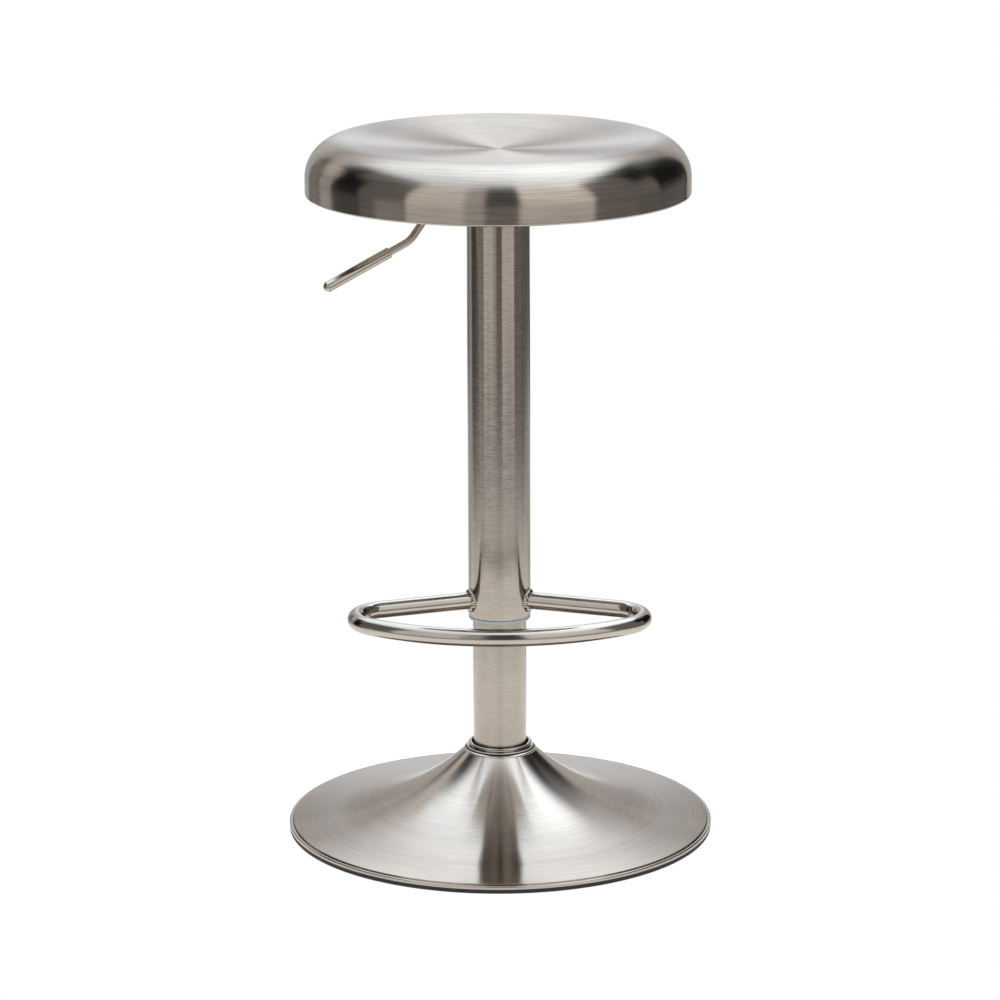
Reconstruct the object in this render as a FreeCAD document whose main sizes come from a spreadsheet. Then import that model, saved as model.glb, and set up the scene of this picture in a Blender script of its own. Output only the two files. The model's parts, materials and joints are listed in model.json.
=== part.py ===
import FreeCAD, Part
import math
import os
import re

import Sketcher

# Height adjustable swivel bar stool: a dished metal seat pan on a gas lift, a cover tube with a welded
# footrest that rides down over the stand tube, and a spun bell base on a rubber floor ring.
# Millimetres, +Z up, origin at the centre of the base on the floor. The sitter faces -Y, where the
# footrest is. Everything is drawn at the middle of the height travel.

# Radii, lengths, heights above the floor (where the name says height) and angles in degrees.
SIZES = {
    # Seat pan
    "seat_height": 657.5,
    "seat_radius": 176.75,
    "seat_depth": 51,
    "seat_rounding": 35.4,
    "seat_sheet": 1.5,
    "dish_depth": 10.5,
    "crest_rounding": 120,
    "hem_rounding": 2.2,
    "hem_width": 6,
    # Backing dish under the pan
    "backing_gap": 5.5,
    "backing_sheet": 2.5,
    "backing_bore_radius": 12,
    "backing_floor_margin": 1.8,
    "backing_slope_width": 8,
    "backing_brim_width": 6,
    # Mount plate and its fasteners
    "mount_width": 150,
    "mount_corner": 15,
    "mount_thickness": 4,
    "mount_access_radius": 10,
    "bolt_pitch": 100,
    "bolt_radius": 4,
    "bolt_hole_radius": 4.5,
    "bolt_head_radius": 7.5,
    "bolt_head_height": 5.3,
    "bolt_end": 0.6,
    "washer_radius": 8,
    "washer_thickness": 1.6,
    "nut_radius": 7.5,
    "nut_height": 6.5,
    # Lever bracket, its cross pin and the taper hub
    "bracket_depth": 36,
    "bracket_length": 66,
    "bracket_hub_gap": 0.5,
    "bracket_sheet": 2.5,
    "bracket_bend": 4,
    "hub_radius": 20,
    "hub_length": 46,
    "hub_stand": 8.5,
    "pivot_reach": 22,
    "pivot_rise": 16,
    "pivot_radius": 3,
    "pivot_fit": 0.05,
    "pivot_head_radius": 5,
    "pivot_head_height": 1.6,
    "pivot_clip_thickness": 1,
    # Lever
    "lever_bearing": 200,
    "rocker_thickness": 9,
    "rocker_width": 16,
    "rocker_nose": 7,
    "rocker_tail": 34,
    "barrel_radius": 6,
    "barrel_play": 0.4,
    "rod_socket_gap": 2,
    "lever_radius": 3.5,
    "knee_gap": 15,
    "knee_bend": 8,
    "elbow_reach": 85.4,
    "elbow_bend": 25,
    "lever_drop": 53.2,
    "lever_slope": 24.6,
    "grip_radius": 5,
    "grip_start": 22,
    "grip_length": 66.9,
    "grip_ogive": 3.8,
    "grip_nose": 3.5,
    "grip_tip": 6.8,
    # Cover tube, its bush and the footrest
    "cover_wall": 1.5,
    "cover_bottom_height": 206.7,
    "top_ring_height": 10,
    "glide_wall": 2.4,
    "glide_length": 40,
    "glide_flange": 3.7,
    "glide_flange_inset": 0.4,
    "glide_rounding": 1.2,
    "glide_fit": 0.1,
    "footrest_rise": 15.3,
    "footrest_radius": 8,
    "footrest_wall": 1.5,
    "footrest_half_width": 132,
    "footrest_reach": 136,
    "footrest_bend": 33,
    "footrest_sweep": 20,
    "weld_root": 3,
    "weld_toe": 2.8,
    "weld_leg": 3.8,
    "weld_crown": 12,
    # Gas lift: travel, stand tube and guide
    "lift_down": 105,
    "lift_up": 105,
    "top_clearance": 5,
    "tube_radius": 25,
    "tube_wall": 2,
    "tube_chamfer": 0.8,
    "foot_height": 12,
    "foot_floor": 3,
    "foot_length": 60,
    "foot_taper": 1.438,
    "guide_length": 75,
    "guide_flange": 1.5,
    "guide_flange_inset": 0.4,
    "guide_fit": 0.08,
    # Gas lift: pressure tube and what is in it
    "lift_radius": 14,
    "lift_wall": 2,
    "lift_lip_radius": 8,
    "lift_taper": 1.438,
    "lift_proud": 0.5,
    "valve_inset": 3.2,
    "valve_length": 49,
    "valve_pin_radius": 3,
    "valve_pin_fit": 0.08,
    "valve_pin_dome": 4.5,
    "valve_chamber_radius": 6,
    "valve_chamber_length": 23,
    "valve_floor": 4.5,
    "valve_port_radius": 1.2,
    "valve_collar_radius": 5,
    "valve_collar_height": 3,
    "seat_play": 0.3,
    "seal_height": 6,
    "rod_guide_height": 12,
    "rod_fit": 0.06,
    "piston_height": 20,
    "piston_fit": 0.1,
    "piston_ring_width": 4,
    "piston_ring_depth": 2.5,
    "piston_ring_fit": 0.06,
    # Gas lift: rod, its bearing and the clip that holds it in the foot
    "rod_radius": 5,
    "rod_end_radius": 4,
    "rod_stud_radius": 3.5,
    "rod_stud_proud": 2,
    "rod_hole_play": 0.4,
    "race_rim": 4,
    "race_thickness": 2.5,
    "race_depth": 0.5,
    "ball_radius": 2.5,
    "ball_circle": 11,
    "ball_count": 10,
    "ball_play": 0.05,
    "cage_inner_rim": 1.5,
    "cage_outer_rim": 1.2,
    "cage_thickness": 2.4,
    "cage_play": 0.15,
    "buffer_height": 25,
    "buffer_radius": 11,
    "buffer_waist": 8.5,
    "buffer_stop_gap": 1,
    "rod_washer_radius": 9,
    "rod_washer_thickness": 1.2,
    "rod_clip_radius": 7,
    "rod_clip_thickness": 1.2,
    "rod_clip_depth": 0.7,
    "rod_clip_angle": 300,
    "rod_tip": 1.3,
    # Base: bell, floor ring, plate, ballast, socket and neck ring
    "base_radius": 200.2,
    "neck_height": 76,
    "rim_ledge": 4.2,
    "rim_step": 0.9,
    "bell_cone_width": 37.1,
    "bell_edge_slope": 8,
    "bell_sheet": 1.2,
    "bell_step": 0.3,
    "lip_height": 7.1,
    "lip_rounding": 1.4,
    "ledge_height": 3.9,
    "plate_height": 3,
    "plate_thickness": 5,
    "plate_bell_gap": 0.2,
    "floor_ring_inset": 0.2,
    "floor_ring_width": 10,
    "floor_ring_rounding": 0.8,
    "floor_ring_top_gap": 0.3,
    "socket_wall": 5,
    "socket_neck_drop": 6,
    "socket_weld": 4,
    "ballast_bore_gap": 2,
    "ballast_inset": 60.2,
    "ballast_crown_width": 20,
    "ballast_bell_gap": 2,
    "neck_ring_play": 1.6,
    "neck_ring_wall": 3.6,
    "neck_ring_fit": 2.8,
    "neck_ring_brim": 1.4,
    "neck_ring_setback": 0.3,
    "neck_ring_gap": 1,
    "neck_ring_lip_height": 1.8,
    "neck_ring_height": 5.9,
    "neck_ring_rounding": 1.5,
    "neck_ring_chamfer": 1,
}

doc = FreeCAD.newDocument("BarStool")
sheet = doc.addObject("Spreadsheet::Sheet", "Sizes")
for row, (alias, size) in enumerate(SIZES.items(), start=1):
    sheet.set(f"A{row}", alias)
    sheet.set(f"B{row}", str(size))
    sheet.setAlias(f"B{row}", alias)
doc.recompute()

nodes = []


# Formulas

def bound(formula):
    """Return the formula as a FreeCAD expression that reads its sizes from the sheet."""
    return re.sub(r"[a-z]\w*", lambda word: "Sizes." + word[0] if word[0] in SIZES else word[0], formula)


def value(formula):
    """Return what the formula comes to with the sizes now in the sheet."""
    result = sheet.evalExpression(bound(formula))
    return float(getattr(result, "Value", result))


def number(size):
    """Return a size of the sheet as a whole number."""
    return int(round(value(size)))


# Heights and radii that several pieces share, worked out from the sizes

DISH_TURN = "(2 * atan(dish_depth / (seat_radius - seat_rounding)))"
DISH_RADIUS = f"((seat_radius - seat_rounding) / sin({DISH_TURN}) - crest_rounding)"
DISH_CENTRE = f"(seat_height - dish_depth + {DISH_RADIUS})"
BACKING_TOP = "(seat_height - dish_depth - seat_sheet - backing_gap)"
MOUNT_TOP = f"({BACKING_TOP} - backing_sheet)"
MOUNT_BOTTOM = f"({MOUNT_TOP} - mount_thickness)"
BOLT_CIRCLE = "(bolt_pitch / sqrt(2))"
BACKING_FLOOR = f"({BOLT_CIRCLE} + nut_radius + backing_floor_margin)"
BRIM_INNER = f"({BACKING_FLOOR} + backing_slope_width)"
BRIM_OUTER = f"({BRIM_INNER} + backing_brim_width)"
WEB_BOTTOM = f"({MOUNT_BOTTOM} - bracket_depth)"
BRACKET_WIDTH = "(2 * (hub_radius + bracket_hub_gap + bracket_sheet))"
HUB_TOP = f"({WEB_BOTTOM} + hub_stand)"
HUB_BOTTOM = f"({HUB_TOP} - hub_length)"
PIVOT_HEIGHT = f"({WEB_BOTTOM} + bracket_sheet + pivot_rise)"
ROD_SOCKET_START = "(pivot_reach + pivot_radius + rod_socket_gap)"
KNEE_REACH = "(rocker_tail + knee_gap)"

STAND_TOP = f"({HUB_BOTTOM} - lift_down - top_clearance)"
FOOT_TOP = "(foot_height + foot_length)"
FOOT_RADIUS = "(tube_radius - foot_length * tan(foot_taper))"
TUBE_BORE = "(tube_radius - tube_wall)"
COVER_BORE = "(tube_radius + glide_fit + glide_wall)"
COVER_RADIUS = f"({COVER_BORE} + cover_wall)"
FOOTREST_HEIGHT = "(cover_bottom_height + footrest_rise)"

RACE_SEAT = "(foot_height + foot_floor)"
RACE_RADIUS = "(ball_circle + race_rim)"
RACE_SPHERE = "(ball_radius + ball_play)"
RACE_HALF = f"sqrt({RACE_SPHERE}^2 - ({RACE_SPHERE} - race_depth)^2)"
BALL_HEIGHT = f"({RACE_SEAT} + race_thickness - race_depth + {RACE_SPHERE})"
UPPER_RACE_BOTTOM = f"({BALL_HEIGHT} + {RACE_SPHERE} - race_depth)"
ROD_SHOULDER = f"({UPPER_RACE_BOTTOM} + race_thickness)"
BUFFER_TOP = f"({ROD_SHOULDER} + buffer_height)"

LIFT_BOTTOM = f"({BUFFER_TOP} + buffer_stop_gap + lift_down)"
LIFT_TOP = f"({HUB_TOP} + lift_proud)"
LIFT_BORE = "(lift_radius - lift_wall)"
VALVE_RADIUS = "(lift_radius - valve_inset)"
GUIDE_BOTTOM = f"({LIFT_BOTTOM} + lift_wall)"
SEAL_BOTTOM = f"({GUIDE_BOTTOM} + rod_guide_height)"
SEAL_TOP = f"({SEAL_BOTTOM} + seal_height)"
PISTON_BOTTOM = f"({SEAL_TOP} + lift_up + seat_play)"
PISTON_TOP = f"({PISTON_BOTTOM} + piston_height)"
VALVE_BOTTOM = f"({LIFT_TOP} - valve_length)"
CHAMBER_BOTTOM = f"({VALVE_BOTTOM} + valve_floor)"
CHAMBER_TOP = f"({CHAMBER_BOTTOM} + valve_chamber_length)"

NECK_RING_BORE = "(tube_radius + neck_ring_play)"
NECK_RING_COLLAR = f"({NECK_RING_BORE} + neck_ring_wall)"
NECK_RADIUS = f"({NECK_RING_COLLAR} + neck_ring_fit)"
BELL_EDGE = "(base_radius - rim_ledge)"
BELL_EDGE_HEIGHT = "(lip_height + rim_step)"
CONE_START = f"({BELL_EDGE} - bell_cone_width)"
CONE_TOP = f"({BELL_EDGE_HEIGHT} + bell_cone_width * tan(bell_edge_slope))"
BELL_ACROSS = f"({CONE_START} - {NECK_RADIUS})"
BELL_RISE = f"(neck_height - {CONE_TOP})"
BELL_BEND = (
    f"(({BELL_ACROSS}^2 + {BELL_RISE}^2)"
    f" / (2 * ({BELL_RISE} * cos(bell_edge_slope) - {BELL_ACROSS} * sin(bell_edge_slope))))"
)
BELL_CENTRE_OUT = f"({CONE_START} + {BELL_BEND} * sin(bell_edge_slope))"
BELL_CENTRE_UP = f"({CONE_TOP} + {BELL_BEND} * cos(bell_edge_slope))"
PLATE_TOP = "(plate_height + plate_thickness)"
PLATE_RADIUS = (
    f"({CONE_START} + ({CONE_TOP} - bell_sheet / cos(bell_edge_slope) - {PLATE_TOP} - plate_bell_gap)"
    " / tan(bell_edge_slope))"
)
SOCKET_RADIUS = "(tube_radius + socket_wall)"
SOCKET_TOP = "(neck_height - socket_neck_drop)"
BALLAST_RADIUS = "(base_radius - ballast_inset)"
BALLAST_CROWN = f"({BALLAST_RADIUS} - ballast_crown_width)"
NECK_LIP = "(neck_height + neck_ring_gap)"


def under_pan(radius, depth="0"):
    """Height of the pan's underside at a radius of its dish, or of the surface a depth below it."""
    return f"({DISH_CENTRE} - sqrt(({DISH_RADIUS} + seat_sheet + {depth})^2 - ({radius})^2))"


def under_bell(radius, depth="0"):
    """Height of the bell's underside at a radius of its curved part, or a depth below it."""
    across = f"({radius} - {BELL_CENTRE_OUT})"
    return f"({BELL_CENTRE_UP} - sqrt(({BELL_BEND} + bell_sheet + {depth})^2 - {across}^2))"


def under_cone(radius):
    """Height of the bell's underside at a radius of its straight part."""
    fall = f"({radius} - {CONE_START}) * tan(bell_edge_slope)"
    return f"({CONE_TOP} - bell_sheet / cos(bell_edge_slope) - {fall})"


# Sketches and bodies

def origin_feature(body, role):
    """Return the body's own origin plane or axis with that role."""
    return next(feature for feature in body.Origin.OriginFeatures if feature.Role == role)


def new_sketch(body, role, across="0", up="0", out="0", turn="0"):
    """Start a sketch on one of the body's planes, moved and turned in it by formulas."""
    sketch = body.newObject("Sketcher::SketchObject", "Outline")
    sketch.AttachmentSupport = (origin_feature(body, role), [""])
    sketch.MapMode = "FlatFace"
    sketch.AttachmentOffset = FreeCAD.Placement(
        FreeCAD.Vector(value(across), value(up), value(out)),
        FreeCAD.Rotation(FreeCAD.Vector(0, 0, 1), value(turn)),
    )
    moves = {"Base.x": across, "Base.y": up, "Base.z": out, "Rotation.Angle": turn}
    for place, formula in moves.items():
        if formula != "0":
            sketch.setExpression("AttachmentOffset." + place, bound(formula))
    return sketch


def tie(sketch, kind, formula, *where):
    """Add a constraint whose size follows the formula."""
    index = sketch.addConstraint(Sketcher.Constraint(kind, *where, value(formula)))
    sketch.setExpression(f"Constraints[{index}]", bound(formula))


def tie_point(sketch, edge, end, across, up):
    """Hold one end or centre of an edge at two formulas, or on an axis where one is 0."""
    for kind, formula, axis in (("DistanceX", across, -2), ("DistanceY", up, -1)):
        if formula == "0":
            sketch.addConstraint(Sketcher.Constraint("PointOnObject", edge, end, axis))
        else:
            tie(sketch, kind, formula, edge, end)


def arc_through(start, end, radius, side):
    """Return the arc under a half circle whose centre lies left (1) or right (-1) of start to end."""
    chord = end - start
    across = FreeCAD.Vector(-chord.y, chord.x, 0).normalize() * side
    centre = (start + end) / 2 + across * math.sqrt(radius ** 2 - (chord.Length / 2) ** 2)
    first, last = (start, end) if side > 0 else (end, start)
    angles = [math.atan2(point.y - centre.y, point.x - centre.x) for point in (first, last)]
    return Part.ArcOfCircle(Part.Circle(centre, FreeCAD.Vector(0, 0, 1), radius), *angles)


def draw(sketch, corners, closed=True):
    """Draw the outline through its corners.

    A corner is (across, up), reached by a line, or (across, up, radius, side), reached by an arc
    whose centre lies left (1) or right (-1) of the way from the corner before it.
    """
    points = [FreeCAD.Vector(value(corner[0]), value(corner[1]), 0) for corner in corners]
    steps = list(range(1, len(corners))) + ([0] if closed else [])
    ends = []
    for step in steps:
        corner = corners[step]
        if len(corner) == 2:
            edge = sketch.addGeometry(Part.LineSegment(points[step - 1], points[step]))
            first, last = 1, 2
        else:
            arc = arc_through(points[step - 1], points[step], value(corner[2]), corner[3])
            edge = sketch.addGeometry(arc)
            first, last = (1, 2) if corner[3] > 0 else (2, 1)
        ends.append((edge, first, last))
    for (edge, first, last), step in zip(ends, steps):
        if len(corners[step]) > 2:
            tie(sketch, "Radius", corners[step][2], edge)
        tie_point(sketch, edge, last, *corners[step][:2])
    if not closed:
        tie_point(sketch, ends[0][0], ends[0][1], *corners[0][:2])
    pairs = zip(ends, ends[1:] + (ends[:1] if closed else []))
    for (before, _, last), (after, first, _) in pairs:
        sketch.addConstraint(Sketcher.Constraint("Coincident", before, last, after, first))


def draw_circle(sketch, radius, across="0", up="0"):
    """Draw a circle at two formulas."""
    centre = FreeCAD.Vector(value(across), value(up), 0)
    circle = Part.Circle(centre, FreeCAD.Vector(0, 0, 1), value(radius))
    edge = sketch.addGeometry(circle)
    tie(sketch, "Radius", radius, edge)
    tie_point(sketch, edge, 3, across, up)


def new_body(label):
    """Start a body that becomes a node of its own."""
    body = doc.addObject("PartDesign::Body", label)
    body.Label = label
    nodes.append(body)
    return body


def revolve(body, sketch, axis="V_Axis", angle=360):
    """Turn the sketch about one of its own axes."""
    feature = body.newObject("PartDesign::Revolution", "Turning")
    feature.Profile = sketch
    feature.ReferenceAxis = (sketch, [axis])
    feature.Angle = angle
    return feature


def turned(label, *corners):
    """Make a body by turning an outline of (radius, height) corners about the stool's axis."""
    body = new_body(label)
    sketch = new_sketch(body, "XZ_Plane")
    draw(sketch, corners)
    revolve(body, sketch)
    return body


def ring(label, inner, outer, bottom, top):
    """Make a plain ring or disc."""
    return turned(label, (inner, bottom), (outer, bottom), (outer, top), (inner, top))


def pad(body, sketch, length, symmetric=False):
    """Pad a sketch by a formula, up from its plane or to both sides of it."""
    feature = body.newObject("PartDesign::Pad", "Block")
    feature.Profile = sketch
    feature.SideType = "Symmetric" if symmetric else "One side"
    feature.setExpression("Length", bound(length))
    return feature


def cut_through(body, sketch):
    """Cut a sketch through the whole body, to both sides of its plane."""
    feature = body.newObject("PartDesign::Pocket", "Cut")
    feature.Profile = sketch
    feature.Type = "ThroughAll"
    feature.SideType = "Symmetric"
    return feature


def repeat_round(body, feature, count):
    """Repeat a feature about the stool's axis."""
    pattern = body.newObject("PartDesign::PolarPattern", "Repeat")
    pattern.Originals = [feature]
    pattern.Axis = (origin_feature(body, "Z_Axis"), [""])
    pattern.Angle = 360
    pattern.Occurrences = count
    body.Tip = pattern
    return pattern


def turn_to_lever(body):
    """Turn a piece that is drawn along +X to the side where the lever is."""
    body.Placement = FreeCAD.Placement(
        FreeCAD.Vector(), FreeCAD.Rotation(FreeCAD.Vector(0, 0, 1), value("lever_bearing"))
    )
    body.setExpression("Placement.Rotation.Angle", bound("lever_bearing"))


def group(label, members):
    """Join separate solids of one kind into one node."""
    compound = doc.addObject("Part::Compound", label)
    compound.Label = label
    compound.Links = members
    nodes.append(compound)
    return compound


def set_sizes(feature, **formulas):
    """Tie the properties of a Part primitive to formulas, with x, y and z for its place."""
    for name, formula in formulas.items():
        path = "Placement.Base." + name if name in ("x", "y", "z") else name
        feature.setExpression(path, bound(formula))
    return feature


# Base

def base_bell():
    """Spun steel bell, hollow, from the neck down to the hooked rim."""
    cone_inner = f"({CONE_START} - bell_sheet * sin(bell_edge_slope))"
    step_outer = f"({BELL_EDGE} + bell_step)"
    step_inner = f"({step_outer} - bell_sheet)"
    turned(
        "base_bell",
        (NECK_RADIUS, "neck_height"),
        (CONE_START, CONE_TOP, BELL_BEND, 1),
        (BELL_EDGE, BELL_EDGE_HEIGHT),
        (step_outer, "lip_height"),
        ("base_radius - lip_rounding", "lip_height"),
        ("base_radius", "lip_height - lip_rounding", "lip_rounding", -1),
        ("base_radius", "ledge_height"),
        ("base_radius - bell_sheet", "ledge_height"),
        ("base_radius - bell_sheet", "lip_height - bell_sheet"),
        (step_inner, "lip_height - bell_sheet"),
        (step_inner, under_cone(step_inner)),
        (cone_inner, under_cone(cone_inner)),
        (
            f"{NECK_RADIUS} - bell_sheet * ({BELL_CENTRE_OUT} - {NECK_RADIUS}) / {BELL_BEND}",
            f"neck_height - bell_sheet * ({BELL_CENTRE_UP} - neck_height) / {BELL_BEND}",
            f"{BELL_BEND} + bell_sheet",
            -1,
        ),
    )


def floor_ring():
    """Rubber ring that the stool stands on, hooked between the bell's lip and the base plate."""
    outer = "(base_radius - floor_ring_inset)"
    upstand = "(base_radius - bell_sheet)"
    top = "(lip_height - bell_sheet - floor_ring_top_gap)"
    turned(
        "floor_ring",
        (f"{PLATE_RADIUS} - floor_ring_width", "0"),
        (f"{outer} - floor_ring_rounding", "0"),
        (outer, "floor_ring_rounding", "floor_ring_rounding", 1),
        (outer, "ledge_height"),
        (upstand, "ledge_height"),
        (upstand, top),
        (PLATE_RADIUS, top),
        (PLATE_RADIUS, "plate_height"),
        (f"{PLATE_RADIUS} - floor_ring_width", "plate_height"),
    )


def base_plate():
    """Steel disc under the bell with the hole that the socket is welded into."""
    body = new_body("base_plate")
    disc = new_sketch(body, "XY_Plane", out="plate_height")
    draw_circle(disc, PLATE_RADIUS)
    draw_circle(disc, SOCKET_RADIUS)
    pad(body, disc, "plate_thickness")


def ballast_ring():
    """Cast iron weight on the plate, coned to stay clear of the bell."""
    bore = f"({SOCKET_RADIUS} + socket_weld + ballast_bore_gap)"
    top = under_bell(BALLAST_CROWN, "ballast_bell_gap")
    turned(
        "ballast_ring",
        (bore, PLATE_TOP),
        (BALLAST_RADIUS, PLATE_TOP),
        (BALLAST_RADIUS, under_bell(BALLAST_RADIUS, "ballast_bell_gap")),
        (BALLAST_CROWN, top, f"{BELL_BEND} + bell_sheet + ballast_bell_gap", -1),
        (bore, top),
    )


def taper_socket():
    """Socket welded into the plate, bored to the taper of the stand tube's foot."""
    mouth = f"({FOOT_RADIUS} + ({SOCKET_TOP} - foot_height) * tan(foot_taper))"
    turned(
        "taper_socket",
        (FOOT_RADIUS, "plate_height"),
        (SOCKET_RADIUS, "plate_height"),
        (SOCKET_RADIUS, PLATE_TOP),
        (f"{SOCKET_RADIUS} + socket_weld", PLATE_TOP),
        (SOCKET_RADIUS, f"{PLATE_TOP} + socket_weld"),
        (SOCKET_RADIUS, SOCKET_TOP),
        (mouth, SOCKET_TOP),
        (FOOT_RADIUS, "foot_height"),
    )


def neck_trim_ring():
    """Polished ring round the stand tube: a collar in the bell's neck, a lip over it and a bead."""
    lip_top = f"({NECK_LIP} + neck_ring_lip_height)"
    top = f"({NECK_LIP} + neck_ring_height)"
    edge = "neck_ring_lip_height / 3"
    lip = f"({NECK_RING_COLLAR} + neck_ring_brim)"
    bead = f"({NECK_RING_COLLAR} - neck_ring_setback)"
    turned(
        "neck_trim_ring",
        (NECK_RING_BORE, SOCKET_TOP),
        (NECK_RING_COLLAR, SOCKET_TOP),
        (NECK_RING_COLLAR, NECK_LIP),
        (f"{lip} - {edge}", NECK_LIP),
        (lip, f"{NECK_LIP} + {edge}", edge, 1),
        (lip, f"{lip_top} - {edge}"),
        (f"{lip} - {edge}", lip_top, edge, 1),
        (bead, lip_top),
        (bead, f"{top} - neck_ring_rounding"),
        (f"{bead} - neck_ring_rounding", top, "neck_ring_rounding", 1),
        (f"{NECK_RING_BORE} + neck_ring_chamfer", top),
        (NECK_RING_BORE, f"{top} - neck_ring_chamfer"),
    )


# Gas lift

def stand_tube():
    """Outer column with a tapered foot and a floor that the thrust bearing sits on."""
    hole = "(rod_end_radius + rod_hole_play)"
    turned(
        "stand_tube",
        (hole, "foot_height"),
        (FOOT_RADIUS, "foot_height"),
        ("tube_radius", FOOT_TOP),
        ("tube_radius", f"{STAND_TOP} - tube_chamfer"),
        ("tube_radius - tube_chamfer", STAND_TOP),
        (TUBE_BORE, STAND_TOP),
        (TUBE_BORE, FOOT_TOP),
        (f"{FOOT_RADIUS} - tube_wall", RACE_SEAT),
        (hole, RACE_SEAT),
    )


def guide_bushing():
    """Plastic sleeve in the top of the stand tube that guides the pressure tube."""
    bore = "(lift_radius + guide_fit)"
    flange = "(tube_radius - guide_flange_inset)"
    flange_top = f"({STAND_TOP} + guide_flange)"
    turned(
        "guide_bushing",
        (bore, f"{STAND_TOP} - guide_length"),
        (TUBE_BORE, f"{STAND_TOP} - guide_length"),
        (TUBE_BORE, STAND_TOP),
        (flange, STAND_TOP),
        (flange, flange_top),
        (bore, flange_top),
    )


def lower_race():
    """Fixed washer of the thrust bearing, with its groove on top."""
    bottom = RACE_SEAT
    top = f"({RACE_SEAT} + race_thickness)"
    turned(
        "bearing_lower_race",
        ("rod_end_radius + rod_hole_play", bottom),
        (RACE_RADIUS, bottom),
        (RACE_RADIUS, top),
        (f"ball_circle + {RACE_HALF}", top),
        (f"ball_circle - {RACE_HALF}", top, RACE_SPHERE, -1),
        ("rod_end_radius + rod_hole_play", top),
    )


def upper_race():
    """Washer of the thrust bearing under the rod's shoulder, with its groove below."""
    turned(
        "bearing_upper_race",
        ("rod_end_radius", UPPER_RACE_BOTTOM),
        (f"ball_circle - {RACE_HALF}", UPPER_RACE_BOTTOM),
        (f"ball_circle + {RACE_HALF}", UPPER_RACE_BOTTOM, RACE_SPHERE, -1),
        (RACE_RADIUS, UPPER_RACE_BOTTOM),
        (RACE_RADIUS, ROD_SHOULDER),
        ("rod_end_radius", ROD_SHOULDER),
    )


def bearing_cage():
    """Flat ring with a pocket for each ball."""
    body = new_body("bearing_cage")
    blank = new_sketch(body, "XY_Plane", out=f"{BALL_HEIGHT} - cage_thickness / 2")
    draw_circle(blank, "ball_circle + ball_radius + cage_outer_rim")
    draw_circle(blank, "ball_circle - ball_radius - cage_inner_rim")
    pad(body, blank, "cage_thickness")
    pocket = new_sketch(body, "XY_Plane", out=BALL_HEIGHT)
    draw_circle(pocket, "ball_radius + cage_play", across="ball_circle")
    repeat_round(body, cut_through(body, pocket), number("ball_count"))


def bearing_balls():
    """Steel balls, one in each pocket of the cage."""
    balls = []
    for index in range(number("ball_count")):
        angle = f"({index} * 360 / ball_count)"
        ball = doc.addObject("Part::Sphere", "Ball")
        set_sizes(
            ball,
            Radius="ball_radius",
            x=f"ball_circle * cos({angle})",
            y=f"ball_circle * sin({angle})",
            z=BALL_HEIGHT,
        )
        balls.append(ball)
    group("bearing_balls", balls)


def piston_rod():
    """Rod with a stepped lower end for the bearing and clip, and a stud for the piston."""
    washer_bottom = "(foot_height - seat_play - rod_washer_thickness)"
    clip_bottom = f"({washer_bottom} - rod_clip_thickness)"
    groove = "(rod_end_radius - rod_clip_depth)"
    tip = f"({clip_bottom} - rod_tip)"
    turned(
        "piston_rod",
        ("0", tip),
        (groove, tip),
        ("rod_end_radius", f"{tip} + rod_clip_depth"),
        ("rod_end_radius", clip_bottom),
        (groove, clip_bottom),
        (groove, washer_bottom),
        ("rod_end_radius", washer_bottom),
        ("rod_end_radius", ROD_SHOULDER),
        ("rod_radius", ROD_SHOULDER),
        ("rod_radius", PISTON_BOTTOM),
        ("rod_stud_radius", PISTON_BOTTOM),
        ("rod_stud_radius", f"{PISTON_TOP} + rod_stud_proud"),
        ("0", f"{PISTON_TOP} + rod_stud_proud"),
    )
    ring("rod_washer", "rod_end_radius", "rod_washer_radius", washer_bottom, "foot_height - seat_play")
    rod_clip(groove, clip_bottom, washer_bottom)


def rod_clip(inner, bottom, top):
    """Open clip in the rod's groove under the foot."""
    body = new_body("rod_clip")
    section = new_sketch(body, "XZ_Plane")
    draw(section, [(inner, bottom), ("rod_clip_radius", bottom), ("rod_clip_radius", top), (inner, top)])
    turning = revolve(body, section)
    turning.setExpression("Angle", bound("rod_clip_angle"))


def buffer():
    """Rubber stop on the rod's shoulder, waisted so that it can give."""
    middle = f"({ROD_SHOULDER} + buffer_height / 2)"
    dip = "(buffer_radius - buffer_waist)"
    bow = f"(((buffer_height / 2)^2 + {dip}^2) / (2 * {dip}))"
    turned(
        "rubber_buffer",
        ("rod_radius", ROD_SHOULDER),
        ("buffer_radius", ROD_SHOULDER),
        ("buffer_waist", middle, bow, -1),
        ("buffer_radius", BUFFER_TOP, bow, -1),
        ("rod_radius", BUFFER_TOP),
    )


def piston():
    """Piston on the rod's stud with its sealing ring."""
    outer = f"({LIFT_BORE} - piston_fit)"
    groove = f"({outer} - piston_ring_depth)"
    middle = f"({PISTON_BOTTOM} + piston_height / 2)"
    ring_bottom = f"({middle} - piston_ring_width / 2)"
    ring_top = f"({middle} + piston_ring_width / 2)"
    turned(
        "piston",
        ("rod_stud_radius", PISTON_BOTTOM),
        (outer, PISTON_BOTTOM),
        (outer, ring_bottom),
        (groove, ring_bottom),
        (groove, ring_top),
        (outer, ring_top),
        (outer, PISTON_TOP),
        ("rod_stud_radius", PISTON_TOP),
    )
    ring("piston_ring", groove, f"{LIFT_BORE} - piston_ring_fit", ring_bottom, ring_top)


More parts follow.
